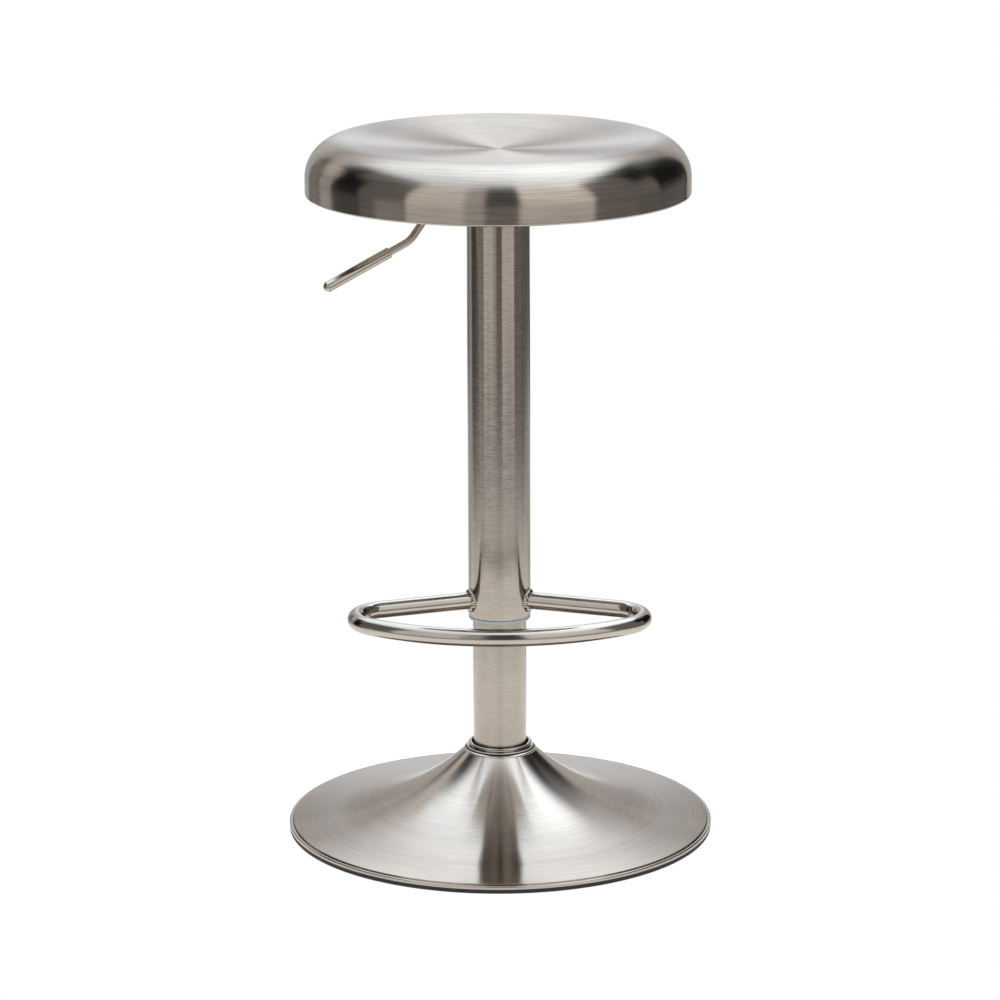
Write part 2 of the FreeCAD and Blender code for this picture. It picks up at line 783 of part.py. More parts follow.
def pressure_tube():
    """Gas cylinder: rolled lip below, tapered top that wedges in the hub."""
    top_radius = f"(lift_radius - ({LIFT_TOP} - {HUB_BOTTOM}) * tan(lift_taper))"
    turned(
        "pressure_tube",
        ("lift_lip_radius", LIFT_BOTTOM),
        ("lift_radius - tube_chamfer", LIFT_BOTTOM),
        ("lift_radius", f"{LIFT_BOTTOM} + tube_chamfer"),
        ("lift_radius", HUB_BOTTOM),
        (top_radius, LIFT_TOP),
        (VALVE_RADIUS, LIFT_TOP),
        (VALVE_RADIUS, VALVE_BOTTOM),
        (LIFT_BORE, VALVE_BOTTOM),
        (LIFT_BORE, GUIDE_BOTTOM),
        ("lift_lip_radius", GUIDE_BOTTOM),
    )
    ring("rod_guide", "rod_radius + rod_fit", LIFT_BORE, GUIDE_BOTTOM, SEAL_BOTTOM)
    ring("rod_seal", "rod_radius + rod_fit", LIFT_BORE, SEAL_BOTTOM, SEAL_TOP)


def valve():
    """Valve body in the top of the gas cylinder, with the pin that the lever presses."""
    bore = "(valve_pin_radius + valve_pin_fit)"
    turned(
        "valve_body",
        ("valve_port_radius", VALVE_BOTTOM),
        (VALVE_RADIUS, VALVE_BOTTOM),
        (VALVE_RADIUS, LIFT_TOP),
        (bore, LIFT_TOP),
        (bore, CHAMBER_TOP),
        ("valve_chamber_radius", CHAMBER_TOP),
        ("valve_chamber_radius", CHAMBER_BOTTOM),
        ("valve_port_radius", CHAMBER_BOTTOM),
    )
    collar_top = f"({CHAMBER_TOP} - seat_play)"
    collar_bottom = f"({collar_top} - valve_collar_height)"
    tip = f"({PIVOT_HEIGHT} - rocker_thickness / 2 - seat_play)"
    dome_drop = "(valve_pin_dome - sqrt(valve_pin_dome^2 - valve_pin_radius^2))"
    turned(
        "valve_pin",
        ("0", collar_bottom),
        ("valve_collar_radius", collar_bottom),
        ("valve_collar_radius", collar_top),
        ("valve_pin_radius", collar_top),
        ("valve_pin_radius", f"{tip} - {dome_drop}"),
        ("0", tip, "valve_pin_dome", 1),
    )


# Column cover and footrest

def taper_hub():
    """Steel hub with the bore that wedges on the pressure tube."""
    mouth = "(lift_radius - hub_length * tan(lift_taper))"
    turned(
        "taper_hub",
        ("lift_radius", HUB_BOTTOM),
        ("hub_radius", HUB_BOTTOM),
        ("hub_radius", HUB_TOP),
        (mouth, HUB_TOP),
    )


def cover_tube():
    """Wide tube that hides the gas lift, with the ring that centres it on the hub."""
    ring("column_cover_tube", COVER_BORE, COVER_RADIUS, "cover_bottom_height", WEB_BOTTOM)
    ring("cover_top_ring", "hub_radius", COVER_BORE, f"{WEB_BOTTOM} - top_ring_height", WEB_BOTTOM)


def glide_bush():
    """Flanged plastic bush in the cover tube's lower end, sliding on the stand tube."""
    bore = "(tube_radius + glide_fit)"
    flange = f"({COVER_RADIUS} - glide_flange_inset)"
    bottom = "(cover_bottom_height - glide_flange)"
    turned(
        "glide_bush",
        (bore, bottom),
        (f"{flange} - glide_rounding", bottom),
        (flange, f"{bottom} + glide_rounding", "glide_rounding", 1),
        (flange, "cover_bottom_height"),
        (COVER_BORE, "cover_bottom_height"),
        (COVER_BORE, "cover_bottom_height + glide_length"),
        (bore, "cover_bottom_height + glide_length"),
    )


def footrest_ring():
    """Footrest: one tube from the column out along an arm, round a bend, across the front and back.

    The right half is swept from the front centre to the column and mirrored.
    """
    sine = "sin(footrest_sweep)"
    cosine = "cos(footrest_sweep)"
    bend_out = "(footrest_half_width - footrest_bend)"
    bend_fore = f"(-({sine} * {bend_out} + footrest_bend) / {cosine})"
    front = "(footrest_reach - footrest_bend)"
    centre = f"(({front}^2 - {bend_fore}^2 - {bend_out}^2) / (-2 * ({bend_fore} + {front})))"
    front_radius = f"(footrest_reach + {centre})"
    share = f"({front_radius} / ({front_radius} - footrest_bend))"
    arm_length = f"((footrest_bend * {sine} + {bend_out}) / {cosine})"
    arm_start = f"({COVER_RADIUS} - footrest_radius)"

    body = new_body("footrest_ring")
    path = new_sketch(body, "XY_Plane", out=FOOTREST_HEIGHT)
    draw(
        path,
        [
            ("0", "-footrest_reach"),
            (f"{bend_out} * {share}", f"{centre} + ({bend_fore} - {centre}) * {share}", front_radius, 1),
            (f"{arm_length} * {cosine}", f"-{arm_length} * {sine}", "footrest_bend", 1),
            (f"{arm_start} * {cosine}", f"-{arm_start} * {sine}"),
        ],
        closed=False,
    )
    section = new_sketch(body, "YZ_Plane")
    for radius in ("footrest_radius", "footrest_radius - footrest_wall"):
        draw_circle(section, radius, across="-footrest_reach", up=FOOTREST_HEIGHT)
    sweep = body.newObject("PartDesign::AdditivePipe", "Sweep")
    sweep.Profile = section
    sweep.Spine = (path, ["Edge1", "Edge2", "Edge3"])
    saddle = new_sketch(body, "XY_Plane", out=FOOTREST_HEIGHT)
    draw_circle(saddle, COVER_RADIUS)
    cut = cut_through(body, saddle)
    mirror = body.newObject("PartDesign::Mirrored", "OtherHalf")
    mirror.Originals = [sweep, cut]
    mirror.MirrorPlane = (origin_feature(body, "YZ_Plane"), [""])
    body.Tip = mirror


def footrest_welds():
    """Fillet weld round each arm where it meets the cover tube."""
    root = f"({COVER_RADIUS} - weld_root)"
    beads = []
    for bearing in ("180 + footrest_sweep", "360 - footrest_sweep"):
        bead = doc.addObject("PartDesign::Body", "WeldBead")
        section = new_sketch(bead, "XZ_Plane", up=FOOTREST_HEIGHT)
        draw(
            section,
            [
                (root, "footrest_radius"),
                (f"{COVER_RADIUS} + weld_toe", "footrest_radius"),
                (root, "footrest_radius + weld_leg", "weld_crown", 1),
            ],
        )
        revolve(bead, section, axis="H_Axis")
        saddle = new_sketch(bead, "XY_Plane", out=FOOTREST_HEIGHT)
        draw_circle(saddle, COVER_RADIUS)
        cut_through(bead, saddle)
        bead.Placement = FreeCAD.Placement(
            FreeCAD.Vector(), FreeCAD.Rotation(FreeCAD.Vector(0, 0, 1), value(bearing))
        )
        bead.setExpression("Placement.Rotation.Angle", bound(bearing))
        beads.append(bead)
    group("footrest_welds", beads)


# Seat

def seat_pan():
    """Pressed pan: in-turned hem, skirt, rounded edge, crest and a shallow dish, one sheet thick."""
    bottom = "(seat_height - seat_depth)"
    crest = "(seat_radius - seat_rounding)"
    join_out = f"({crest} - crest_rounding * sin({DISH_TURN}))"
    join_up = f"(seat_height - crest_rounding * (1 - cos({DISH_TURN})))"
    inner_join_out = f"({join_out} + seat_sheet * sin({DISH_TURN}))"
    inner_join_up = f"({join_up} - seat_sheet * cos({DISH_TURN}))"
    turned(
        "seat_pan",
        ("seat_radius - hem_width", bottom),
        ("seat_radius - hem_rounding", bottom),
        ("seat_radius", f"{bottom} + hem_rounding", "hem_rounding", 1),
        ("seat_radius", "seat_height - seat_rounding"),
        (crest, "seat_height", "seat_rounding", 1),
        (join_out, join_up, "crest_rounding", 1),
        ("0", "seat_height - dish_depth", DISH_RADIUS, -1),
        ("0", "seat_height - dish_depth - seat_sheet"),
        (inner_join_out, inner_join_up, f"{DISH_RADIUS} + seat_sheet", 1),
        (crest, "seat_height - seat_sheet", "crest_rounding - seat_sheet", -1),
        ("seat_radius - seat_sheet", "seat_height - seat_rounding", "seat_rounding - seat_sheet", -1),
        ("seat_radius - seat_sheet", f"{bottom} + hem_rounding"),
        (
            "seat_radius - hem_rounding",
            f"{bottom} + seat_sheet",
            "hem_rounding - seat_sheet",
            -1,
        ),
        ("seat_radius - hem_width", f"{bottom} + seat_sheet"),
    )


def seat_backing_dish():
    """Stiffening dish spot welded to the pan by its brim, with a flat floor for the mount plate."""
    slant = "(backing_sheet / 2.4)"
    lower_brim = f"({BRIM_INNER} + {slant})"
    body = turned(
        "seat_backing_dish",
        ("backing_bore_radius", MOUNT_TOP),
        (f"{BACKING_FLOOR} + {slant}", MOUNT_TOP),
        (lower_brim, under_pan(lower_brim, "backing_sheet")),
        (
            BRIM_OUTER,
            under_pan(BRIM_OUTER, "backing_sheet"),
            f"{DISH_RADIUS} + seat_sheet + backing_sheet",
            1,
        ),
        (BRIM_OUTER, under_pan(BRIM_OUTER)),
        (BRIM_INNER, under_pan(BRIM_INNER), f"{DISH_RADIUS} + seat_sheet", -1),
        (BACKING_FLOOR, BACKING_TOP),
        ("backing_bore_radius", BACKING_TOP),
    )
    bolt_holes(body, MOUNT_TOP)


def bolt_holes(body, height):
    """Drill the four bolt holes of the seat."""
    hole = new_sketch(body, "XY_Plane", out=height)
    draw_circle(hole, "bolt_hole_radius", across="bolt_pitch / 2", up="bolt_pitch / 2")
    repeat_round(body, cut_through(body, hole), 4)


def mount_plate():
    """Square plate with rounded corners that the seat is bolted to."""
    half = "mount_width / 2"
    inner = "(mount_width / 2 - mount_corner)"
    body = new_body("mount_plate")
    blank = new_sketch(body, "XY_Plane", out=MOUNT_BOTTOM)
    draw(
        blank,
        [
            (f"-{inner}", f"-{half}"),
            (inner, f"-{half}"),
            (half, f"-{inner}", "mount_corner", 1),
            (half, inner),
            (inner, half, "mount_corner", 1),
            (f"-{inner}", half),
            (f"-{half}", inner, "mount_corner", 1),
            (f"-{half}", f"-{inner}"),
            (f"-{inner}", f"-{half}", "mount_corner", 1),
        ][1:],
    )
    draw_circle(blank, "mount_access_radius")
    pad(body, blank, "mount_thickness")
    bolt_holes(body, MOUNT_BOTTOM)


def seat_fasteners():
    """Four hex bolts up through washers, mount plate and backing dish into weld nuts."""
    washer_bottom = f"({MOUNT_BOTTOM} - washer_thickness)"
    bolt_length = f"({BACKING_TOP} - {washer_bottom} + nut_height + bolt_end)"
    bolts = []
    washers = []
    nuts = []
    for across, along in ((1, 1), (-1, 1), (-1, -1), (1, -1)):
        corner = {"x": f"{across} * bolt_pitch / 2", "y": f"{along} * bolt_pitch / 2"}
        head = prism("BoltHead", "bolt_head_radius", "bolt_head_height", washer_bottom, corner)
        head.setExpression("Placement.Base.z", bound(f"{washer_bottom} - bolt_head_height"))
        shank = rod_piece("BoltShank", "bolt_radius", bolt_length, washer_bottom, corner)
        bolts.append(boolean("Part::Fuse", "Bolt", head, shank))
        disc = rod_piece("WasherDisc", "washer_radius", "washer_thickness", washer_bottom, corner)
        eye = rod_piece("WasherEye", "bolt_hole_radius", "washer_thickness", washer_bottom, corner)
        washers.append(boolean("Part::Cut", "Washer", disc, eye))
        block = prism("NutBlock", "nut_radius", "nut_height", BACKING_TOP, corner)
        thread = rod_piece("NutBore", "bolt_radius", "nut_height", BACKING_TOP, corner)
        nuts.append(boolean("Part::Cut", "Nut", block, thread))
    group("seat_bolts", bolts)
    group("seat_washers", washers)
    group("seat_weld_nuts", nuts)


def prism(name, radius, height, bottom, corner):
    """Make an upright hexagonal prism at a corner of the bolt pattern."""
    feature = doc.addObject("Part::Prism", name)
    feature.Polygon = 6
    return set_sizes(feature, Circumradius=radius, Height=height, z=bottom, **corner)


def rod_piece(name, radius, height, bottom, corner):
    """Make an upright cylinder at a corner of the bolt pattern."""
    feature = doc.addObject("Part::Cylinder", name)
    return set_sizes(feature, Radius=radius, Height=height, z=bottom, **corner)


def boolean(kind, name, base, tool):
    """Join or cut one solid with another."""
    feature = doc.addObject(kind, name)
    feature.Base = base
    feature.Tool = tool
    return feature


# Lever, drawn along +X and turned to its side

def lever_bracket():
    """Folded channel under the mount plate, with a hole for the hub and for the cross pin."""
    half = f"{BRACKET_WIDTH} / 2"
    inner = f"({BRACKET_WIDTH} / 2 - bracket_sheet)"
    bend = "(bracket_bend + bracket_sheet)"
    web_top = f"({WEB_BOTTOM} + bracket_sheet)"
    body = new_body("lever_bracket")
    channel = new_sketch(body, "YZ_Plane")
    draw(
        channel,
        [
            (f"-{half}", f"{WEB_BOTTOM} + {bend}"),
            (f"-{half} + {bend}", WEB_BOTTOM, bend, 1),
            (f"{half} - {bend}", WEB_BOTTOM),
            (half, f"{WEB_BOTTOM} + {bend}", bend, 1),
            (half, MOUNT_BOTTOM),
            (inner, MOUNT_BOTTOM),
            (inner, f"{web_top} + bracket_bend"),
            (f"{inner} - bracket_bend", web_top, "bracket_bend", -1),
            (f"-{inner} + bracket_bend", web_top),
            (f"-{inner}", f"{web_top} + bracket_bend", "bracket_bend", -1),
            (f"-{inner}", MOUNT_BOTTOM),
            (f"-{half}", MOUNT_BOTTOM),
        ],
    )
    pad(body, channel, "bracket_length", symmetric=True)
    hub_hole = new_sketch(body, "XY_Plane", out=WEB_BOTTOM)
    draw_circle(hub_hole, "hub_radius")
    cut_through(body, hub_hole)
    pin_hole = new_sketch(body, "XZ_Plane")
    draw_circle(pin_hole, "pivot_radius", across="pivot_reach", up=PIVOT_HEIGHT)
    cut_through(body, pin_hole)
    turn_to_lever(body)


def cross_section(body, across=PIVOT_HEIGHT):
    """Start a sketch about the cross pin's axis: its own X runs along the pin."""
    return new_sketch(body, "YZ_Plane", up=across, out="pivot_reach")


def pivot_pin():
    """Headed cross pin through the bracket and the clip on its far end."""
    half = f"({BRACKET_WIDTH} / 2)"
    end = f"({half} + pivot_clip_thickness + 1)"
    groove = "(pivot_radius * 0.8)"
    body = new_body("pivot_pin")
    section = cross_section(body)
    draw(
        section,
        [
            (f"-{half} - pivot_head_height", "0"),
            (end, "0"),
            (end, "pivot_radius"),
            (f"{half} + pivot_clip_thickness", "pivot_radius"),
            (f"{half} + pivot_clip_thickness", groove),
            (half, groove),
            (half, "pivot_radius"),
            (f"-{half}", "pivot_radius"),
            (f"-{half}", "pivot_head_radius"),
            (f"-{half} - pivot_head_height", "pivot_head_radius"),
        ],
    )
    revolve(body, section, axis="H_Axis")
    turn_to_lever(body)

    clip = new_body("pivot_clip")
    section = cross_section(clip)
    draw(
        section,
        [
            (half, groove),
            (f"{half} + pivot_clip_thickness", groove),
            (f"{half} + pivot_clip_thickness", "pivot_head_radius"),
            (half, "pivot_head_radius"),
        ],
    )
    turning = revolve(clip, section, axis="H_Axis")
    turning.setExpression("Angle", bound("rod_clip_angle"))
    turn_to_lever(clip)


def lever_rocker():
    """Rocker on the cross pin: its nose presses the valve pin, its tail holds the lever rod."""
    low = f"({PIVOT_HEIGHT} - rocker_thickness / 2)"
    high = f"({PIVOT_HEIGHT} + rocker_thickness / 2)"
    body = new_body("lever_rocker")
    side = new_sketch(body, "XZ_Plane")
    draw(
        side,
        [
            ("-rocker_nose", low),
            ("rocker_tail", low),
            ("rocker_tail", high),
            ("0", high),
            ("-rocker_nose", f"{low} + rocker_thickness / 2"),
        ],
    )
    pad(body, side, "rocker_width", symmetric=True)
    barrel = new_sketch(body, "XZ_Plane")
    draw_circle(barrel, "barrel_radius", across="pivot_reach", up=PIVOT_HEIGHT)
    pad(body, barrel, f"{BRACKET_WIDTH} - 2 * bracket_sheet - 2 * barrel_play", symmetric=True)
    bore = new_sketch(body, "XZ_Plane")
    draw_circle(bore, "pivot_radius + pivot_fit", across="pivot_reach", up=PIVOT_HEIGHT)
    cut_through(body, bore)
    socket = new_sketch(body, "YZ_Plane", out=ROD_SOCKET_START)
    draw_circle(socket, "lever_radius", up=PIVOT_HEIGHT)
    drill = body.newObject("PartDesign::Pocket", "RodSocket")
    drill.Profile = socket
    drill.Reversed = True
    drill.setExpression("Length", bound(f"rocker_tail - {ROD_SOCKET_START}"))
    turn_to_lever(body)


ELBOW_DROP = f"((elbow_reach - {KNEE_REACH}) * tan(lever_drop))"
ELBOW_HEIGHT = f"({PIVOT_HEIGHT} - {ELBOW_DROP})"


def lever_rod():
    """Bent rod: level from the rocker, steeply down past the skirt, then out to the grip."""
    knee_run = "(knee_bend * tan(lever_drop / 2))"
    elbow_turn = "(lever_drop - lever_slope)"
    elbow_run = f"(elbow_bend * tan({elbow_turn} / 2))"
    out_length = "(grip_start + grip_length - grip_tip)"
    body = new_body("lever_rod")
    path = new_sketch(body, "XZ_Plane")
    draw(
        path,
        [
            (ROD_SOCKET_START, PIVOT_HEIGHT),
            (f"{KNEE_REACH} - {knee_run}", PIVOT_HEIGHT),
            (
                f"{KNEE_REACH} + {knee_run} * cos(lever_drop)",
                f"{PIVOT_HEIGHT} - {knee_run} * sin(lever_drop)",
                "knee_bend",
                -1,
            ),
            (
                f"elbow_reach - {elbow_run} * cos(lever_drop)",
                f"{ELBOW_HEIGHT} + {elbow_run} * sin(lever_drop)",
            ),
            (
                f"elbow_reach + {elbow_run} * cos(lever_slope)",
                f"{ELBOW_HEIGHT} - {elbow_run} * sin(lever_slope)",
                "elbow_bend",
                1,
            ),
            (
                f"elbow_reach + {out_length} * cos(lever_slope)",
                f"{ELBOW_HEIGHT} - {out_length} * sin(lever_slope)",
            ),
        ],
        closed=False,
    )
    section = new_sketch(body, "YZ_Plane", out=ROD_SOCKET_START)
    draw_circle(section, "lever_radius", up=PIVOT_HEIGHT)
    sweep = body.newObject("PartDesign::AdditivePipe", "Sweep")
    sweep.Profile = section
    sweep.Spine = (path, [f"Edge{index + 1}" for index in range(5)])
    turn_to_lever(body)


def lever_grip():
    """Slim sleeve on the lever rod with a bullet nose."""
    end = "(grip_start + grip_length)"
    ogive = f"({end} - grip_ogive)"
    hollow = f"({end} - grip_tip)"
    nose = f"({end} - grip_nose / 2)"
    body = new_body("lever_grip")
    section = new_sketch(body, "XZ_Plane", across="elbow_reach", up=ELBOW_HEIGHT, turn="-lever_slope")
    draw(
        section,
        [
            ("grip_start", "lever_radius"),
            (hollow, "lever_radius"),
            (hollow, "0"),
            (end, "0"),
            (nose, "grip_nose", "grip_nose * 1.25", 1),
            (ogive, "grip_radius", "grip_ogive * 1.2", 1),
            ("grip_start", "grip_radius"),
        ],
    )
    revolve(body, section, axis="H_Axis")
    turn_to_lever(body)


base_bell()
floor_ring()
base_plate()
ballast_ring()
taper_socket()
neck_trim_ring()
stand_tube()
guide_bushing()
lower_race()
bearing_cage()
bearing_balls()
upper_race()
piston_rod()
buffer()
piston()
pressure_tube()
valve()
taper_hub()
cover_tube()
glide_bush()
footrest_ring()
footrest_welds()
seat_pan()
seat_backing_dish()
mount_plate()
seat_fasteners()
lever_bracket()
pivot_pin()
lever_rocker()
lever_rod()
lever_grip()
doc.recompute()

for item in doc.Objects:
    if "Invalid" in item.State or "Error" in item.State:
        raise RuntimeError(f"{item.Name} failed: {item.State}")
for node in nodes:
    if node.Shape.isNull() or not node.Shape.isValid():
        raise RuntimeError(f"{node.Label} has no valid shape")
    if not node.Shape.Solids:
        raise RuntimeError(f"{node.Label} has no solid")

os.makedirs("parts", exist_ok=True)
for node in nodes:
    node.Shape.exportStep(f"parts/{node.Label}.step")
    print(f"{node.Label}: {len(node.Shape.Solids)} solids, {node.Shape.Volume:.0f} mm3")
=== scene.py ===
import json
import logging
import math
from abc import ABC, abstractmethod
from dataclasses import dataclass
from enum import Enum

import bmesh
import bpy
from mathutils import Matrix, Vector


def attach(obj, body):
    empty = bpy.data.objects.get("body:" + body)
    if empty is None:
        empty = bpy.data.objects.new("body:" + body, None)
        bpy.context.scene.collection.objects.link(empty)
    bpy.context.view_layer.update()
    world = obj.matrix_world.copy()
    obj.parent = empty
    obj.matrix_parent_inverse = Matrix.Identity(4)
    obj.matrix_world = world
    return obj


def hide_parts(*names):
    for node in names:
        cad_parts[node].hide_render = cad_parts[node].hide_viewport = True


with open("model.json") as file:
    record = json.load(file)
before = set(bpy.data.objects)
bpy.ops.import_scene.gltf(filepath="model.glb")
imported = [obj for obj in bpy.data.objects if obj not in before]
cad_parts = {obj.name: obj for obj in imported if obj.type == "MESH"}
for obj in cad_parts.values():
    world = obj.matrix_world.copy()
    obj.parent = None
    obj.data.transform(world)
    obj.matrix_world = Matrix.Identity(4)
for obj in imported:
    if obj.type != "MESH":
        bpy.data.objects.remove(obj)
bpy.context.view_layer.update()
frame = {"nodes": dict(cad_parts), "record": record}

# A swivel bar stool in spun and brushed steel. The stool's sizes are millimetres and degrees, as a metal
# worker's drawing has them. Meshes and the studio are metres. +Z is up, and the sitter faces -Y.

LOG = logging.getLogger("bar_stool")
MM = 0.001
UV_NAME = "UVMap"
TINY = 1e-6
ARC_STEP = math.radians(3.0)
ARC_SPACING = 5.0
EASE_TURN = math.radians(20.0)
EASE_SHARE = 0.4
EASE_STEPS = 4
SMOOTH_BELOW = math.radians(38.0)


class Body(str, Enum):
    """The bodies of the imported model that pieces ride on."""

    BASE = "base"
    SEAT_COLUMN = "seat_column"
    LEVER = "lever"


class Slot(str, Enum):
    """The record's material slots."""

    BRUSHED = "brushed_steel"
    POLISHED = "polished_steel"
    ZINC = "zinc_steel"
    BEARING = "bearing_steel"
    BLACK_STEEL = "black_steel"
    IRON = "cast_iron"
    RUBBER = "black_rubber"
    PALE_PLASTIC = "pale_grey_plastic"
    BLACK_PLASTIC = "black_plastic"
    ALUMINIUM = "aluminium"
    BRASS = "brass"


@dataclass(frozen=True)
class Ramp:
    """A value that changes evenly from start to end while another runs from low to high."""

    low: float
    high: float
    start: float = 0.0
    end: float = 1.0


# Outlines and paths


def arc_points(start: Vector, end: Vector, radius: float, side: int) -> list[Vector]:
    """Sample an arc under a half circle, without its start.

    Args:
        start: Where the arc begins, in the outline's plane.
        end: Where it ends.
        radius: The arc's radius.
        side: 1 if the centre lies left of the way from start to end, -1 if right.

    Returns:
        Points along the arc, ending on its end.
    """
    chord = end - start
    across = Vector((-chord.y, chord.x)).normalized() * side
    centre = (start + end) / 2 + across * math.sqrt(max(radius**2 - chord.length_squared / 4, 0.0))
    first = math.atan2(start.y - centre.y, start.x - centre.x)
    turn = math.atan2(end.y - centre.y, end.x - centre.x) - first
    turn = turn % math.tau if side > 0 else -((-turn) % math.tau)
    steps = max(2, math.ceil(abs(turn) / ARC_STEP), math.ceil(abs(turn) * radius / ARC_SPACING))
    points = []
    for step in range(1, steps):
        angle = first + turn * step / steps
        points.append(centre + radius * Vector((math.cos(angle), math.sin(angle))))
    return points + [end]


def trace(corners: list[tuple[float, ...]], closed: bool = True, ease: float = 0.0) -> list[Vector]:
    """Follow an outline through its corners.

    Args:
        corners: Each (across, up), reached by a line, or (across, up, radius, side), reached by an arc.
        closed: Whether the last corner runs back to the first.
        ease: How far a hard corner is rounded back along both its edges.

    Returns:
        The outline's points in order, in the outline's own plane.
    """
    points = [Vector(corners[0][:2])]
    joints = [0]
    for corner in corners[1:] + (corners[:1] if closed else []):
        goal = Vector(corner[:2])
        if len(corner) > 2:
            points += arc_points(points[-1], goal, corner[2], int(corner[3]))
        else:
            points.append(goal)
        joints.append(len(points) - 1)
    if closed:
        points.pop()
        joints = [joint % len(points) for joint in joints[:-1]]
    else:
        joints = joints[1:-1]
    return eased(points, set(joints), ease) if ease else points


def eased(points: list[Vector], joints: set[int], ease: float) -> list[Vector]:
    """Round the hard corners of a closed outline so that they catch the light.

    Args:
        points: The outline's points.
        points: The outline's points.
        joints: Which of them are corners.
        ease: How far the rounding reaches along each edge.

    Returns:
        The outline with five points in place of each hard corner.
    """
    made = []
    count = len(points)
    for index, point in enumerate(points):
        back = points[index - 1] - point
        ahead = points[(index + 1) % count] - point
        on_axis = abs(point.x) < TINY
        if index not in joints or on_axis or back.angle(-ahead) < EASE_TURN:
            made.append(point)
            continue
        start = point + back.normalized() * min(ease, back.length * EASE_SHARE)
        end = point + ahead.normalized() * min(ease, ahead.length * EASE_SHARE)
        for step in range(EASE_STEPS + 1):
            share = step / EASE_STEPS
            made.append(start.lerp(point, share).lerp(point.lerp(end, share), share))
    return made


# Meshes


def new_piece(name: str, mesh: bpy.types.Mesh) -> bpy.types.Object:
    """Put a mesh into the scene as a piece at the origin."""
    piece = bpy.data.objects.new(name, mesh)
    bpy.context.scene.collection.objects.link(piece)
    return piece


def ring_of(shell: bmesh.types.BMesh, reaches: list[float], height: float) -> list[bmesh.types.BMVert]:
    """Add a ring of evenly turned points about the Z axis.

    Args:
        shell: The mesh under construction.
        reaches: How far out each point lies, in millimetres.
        height: The ring's height in millimetres.

    Returns:
        The points in order.
    """
    ring = []
    for step, reach in enumerate(reaches):
        angle = math.tau * step / len(reaches)
        out = reach * MM
        ring.append(shell.verts.new((out * math.cos(angle), out * math.sin(angle), height * MM)))
    return ring


def closed_piece(name: str, shell: bmesh.types.BMesh) -> bpy.types.Object:
    """Turn a closed shell into a piece that is smooth except at its sharp edges."""
    for face in shell.faces:
        face.smooth = True
    bmesh.ops.recalc_face_normals(shell, faces=shell.faces)
    mesh = bpy.data.meshes.new(name)
    shell.to_mesh(mesh)
    shell.free()
    mesh.set_sharp_from_angle(angle=SMOOTH_BELOW)
    return new_piece(name, mesh)


def spin(name: str, outline: list[Vector], segments: int) -> bpy.types.Object:
    """Turn a closed outline of (radius, height) about the Z axis.

    The UV map runs along the outline in metres across U and once round the axis across V, so that U is
    the way that spin brushing spreads a highlight.

    Args:
        name: The piece's name.
        outline: The outline's points in millimetres.
        segments: How many steps make the full turn.

    Returns:
        The piece.
    """
    shell = bmesh.new()
    uv_layer = shell.loops.layers.uv.new(UV_NAME)
    rows = []
    lengths = [0.0]
    for index, point in enumerate(outline):
        ahead = outline[(index + 1) % len(outline)]
        lengths.append(lengths[-1] + (ahead - point).length * MM)
        if abs(point.x) < TINY:
            rows.append([shell.verts.new((0.0, 0.0, point.y * MM))] * segments)
        else:
            rows.append(ring_of(shell, [point.x] * segments, point.y))
    for index, row in enumerate(rows):
        other = rows[(index + 1) % len(rows)]
        if row[0] is row[1] and other[0] is other[1]:
            continue
        for step in range(segments):
            after = (step + 1) % segments
            ring = [(row[step], 0, 0), (row[after], 0, 1), (other[after], 1, 1), (other[step], 1, 0)]
            kept = [corner for place, corner in enumerate(ring) if corner[0] is not ring[place - 1][0]]
            face = shell.faces.new([corner[0] for corner in kept])
            for loop, (_, along, round_by) in zip(face.loops, kept):
                loop[uv_layer].uv = (lengths[index + along], (step + round_by) / segments)
    return closed_piece(name, shell)


def path_curve(name: str, paths: list[list[Vector]], cyclic: bool) -> bpy.types.Object:
    """Make a plain curve along each path of points given in millimetres."""
    data = bpy.data.curves.new(name, "CURVE")
    data.dimensions = "3D"
    for path in paths:
        spline = data.splines.new("POLY")
        spline.points.add(len(path) - 1)
        for place, point in zip(spline.points, path):
            place.co = (*(point * MM), 1.0)
        spline.use_cyclic_u = cyclic
    curve = bpy.data.objects.new(name, data)
    bpy.context.scene.collection.objects.link(curve)
    return curve


class TreeWork:
    """Short calls that build a node tree."""

    def __init__(self, tree: bpy.types.NodeTree) -> None:
        """Work on a tree."""
        self.tree = tree

    def feed(self, socket: bpy.types.NodeSocket, value: object) -> None:
        """Link a socket or set a plain value."""
        if isinstance(value, bpy.types.NodeSocket):
            self.tree.links.new(value, socket)
        else:
            socket.default_value = value

    def add(self, kind: str, settings: dict | None = None, **wired: object) -> bpy.types.Node:
        """Add a node.

        Args:
            kind: The node's type.
            settings: The node's own properties.
            wired: Input names, with spaces as underscores, and the socket or value each takes.

        Returns:
            The node.
        """
        node = self.tree.nodes.new(kind)
        for name, value in (settings or {}).items():
            setattr(node, name, value)
        for name, value in wired.items():
            self.feed(node.inputs[name.replace("_", " ")], value)
        return node

    def ordered(self, kind: str, settings: dict, *terms: object) -> bpy.types.Node:
        """Add a node and feed its inputs in their order."""
        node = self.add(kind, settings)
        for socket, term in zip(node.inputs, terms):
            self.feed(socket, term)
        return node

    def maths(self, operation: str, *terms: object) -> bpy.types.NodeSocket:
        """Add a Math node and return its result."""
        return self.ordered("ShaderNodeMath", {"operation": operation}, *terms).outputs[0]

    def product(self, first: object, *others: object) -> bpy.types.NodeSocket:
        """Multiply values and return the result."""
        for other in others:
            first = self.maths("MULTIPLY", first, other)
        return first


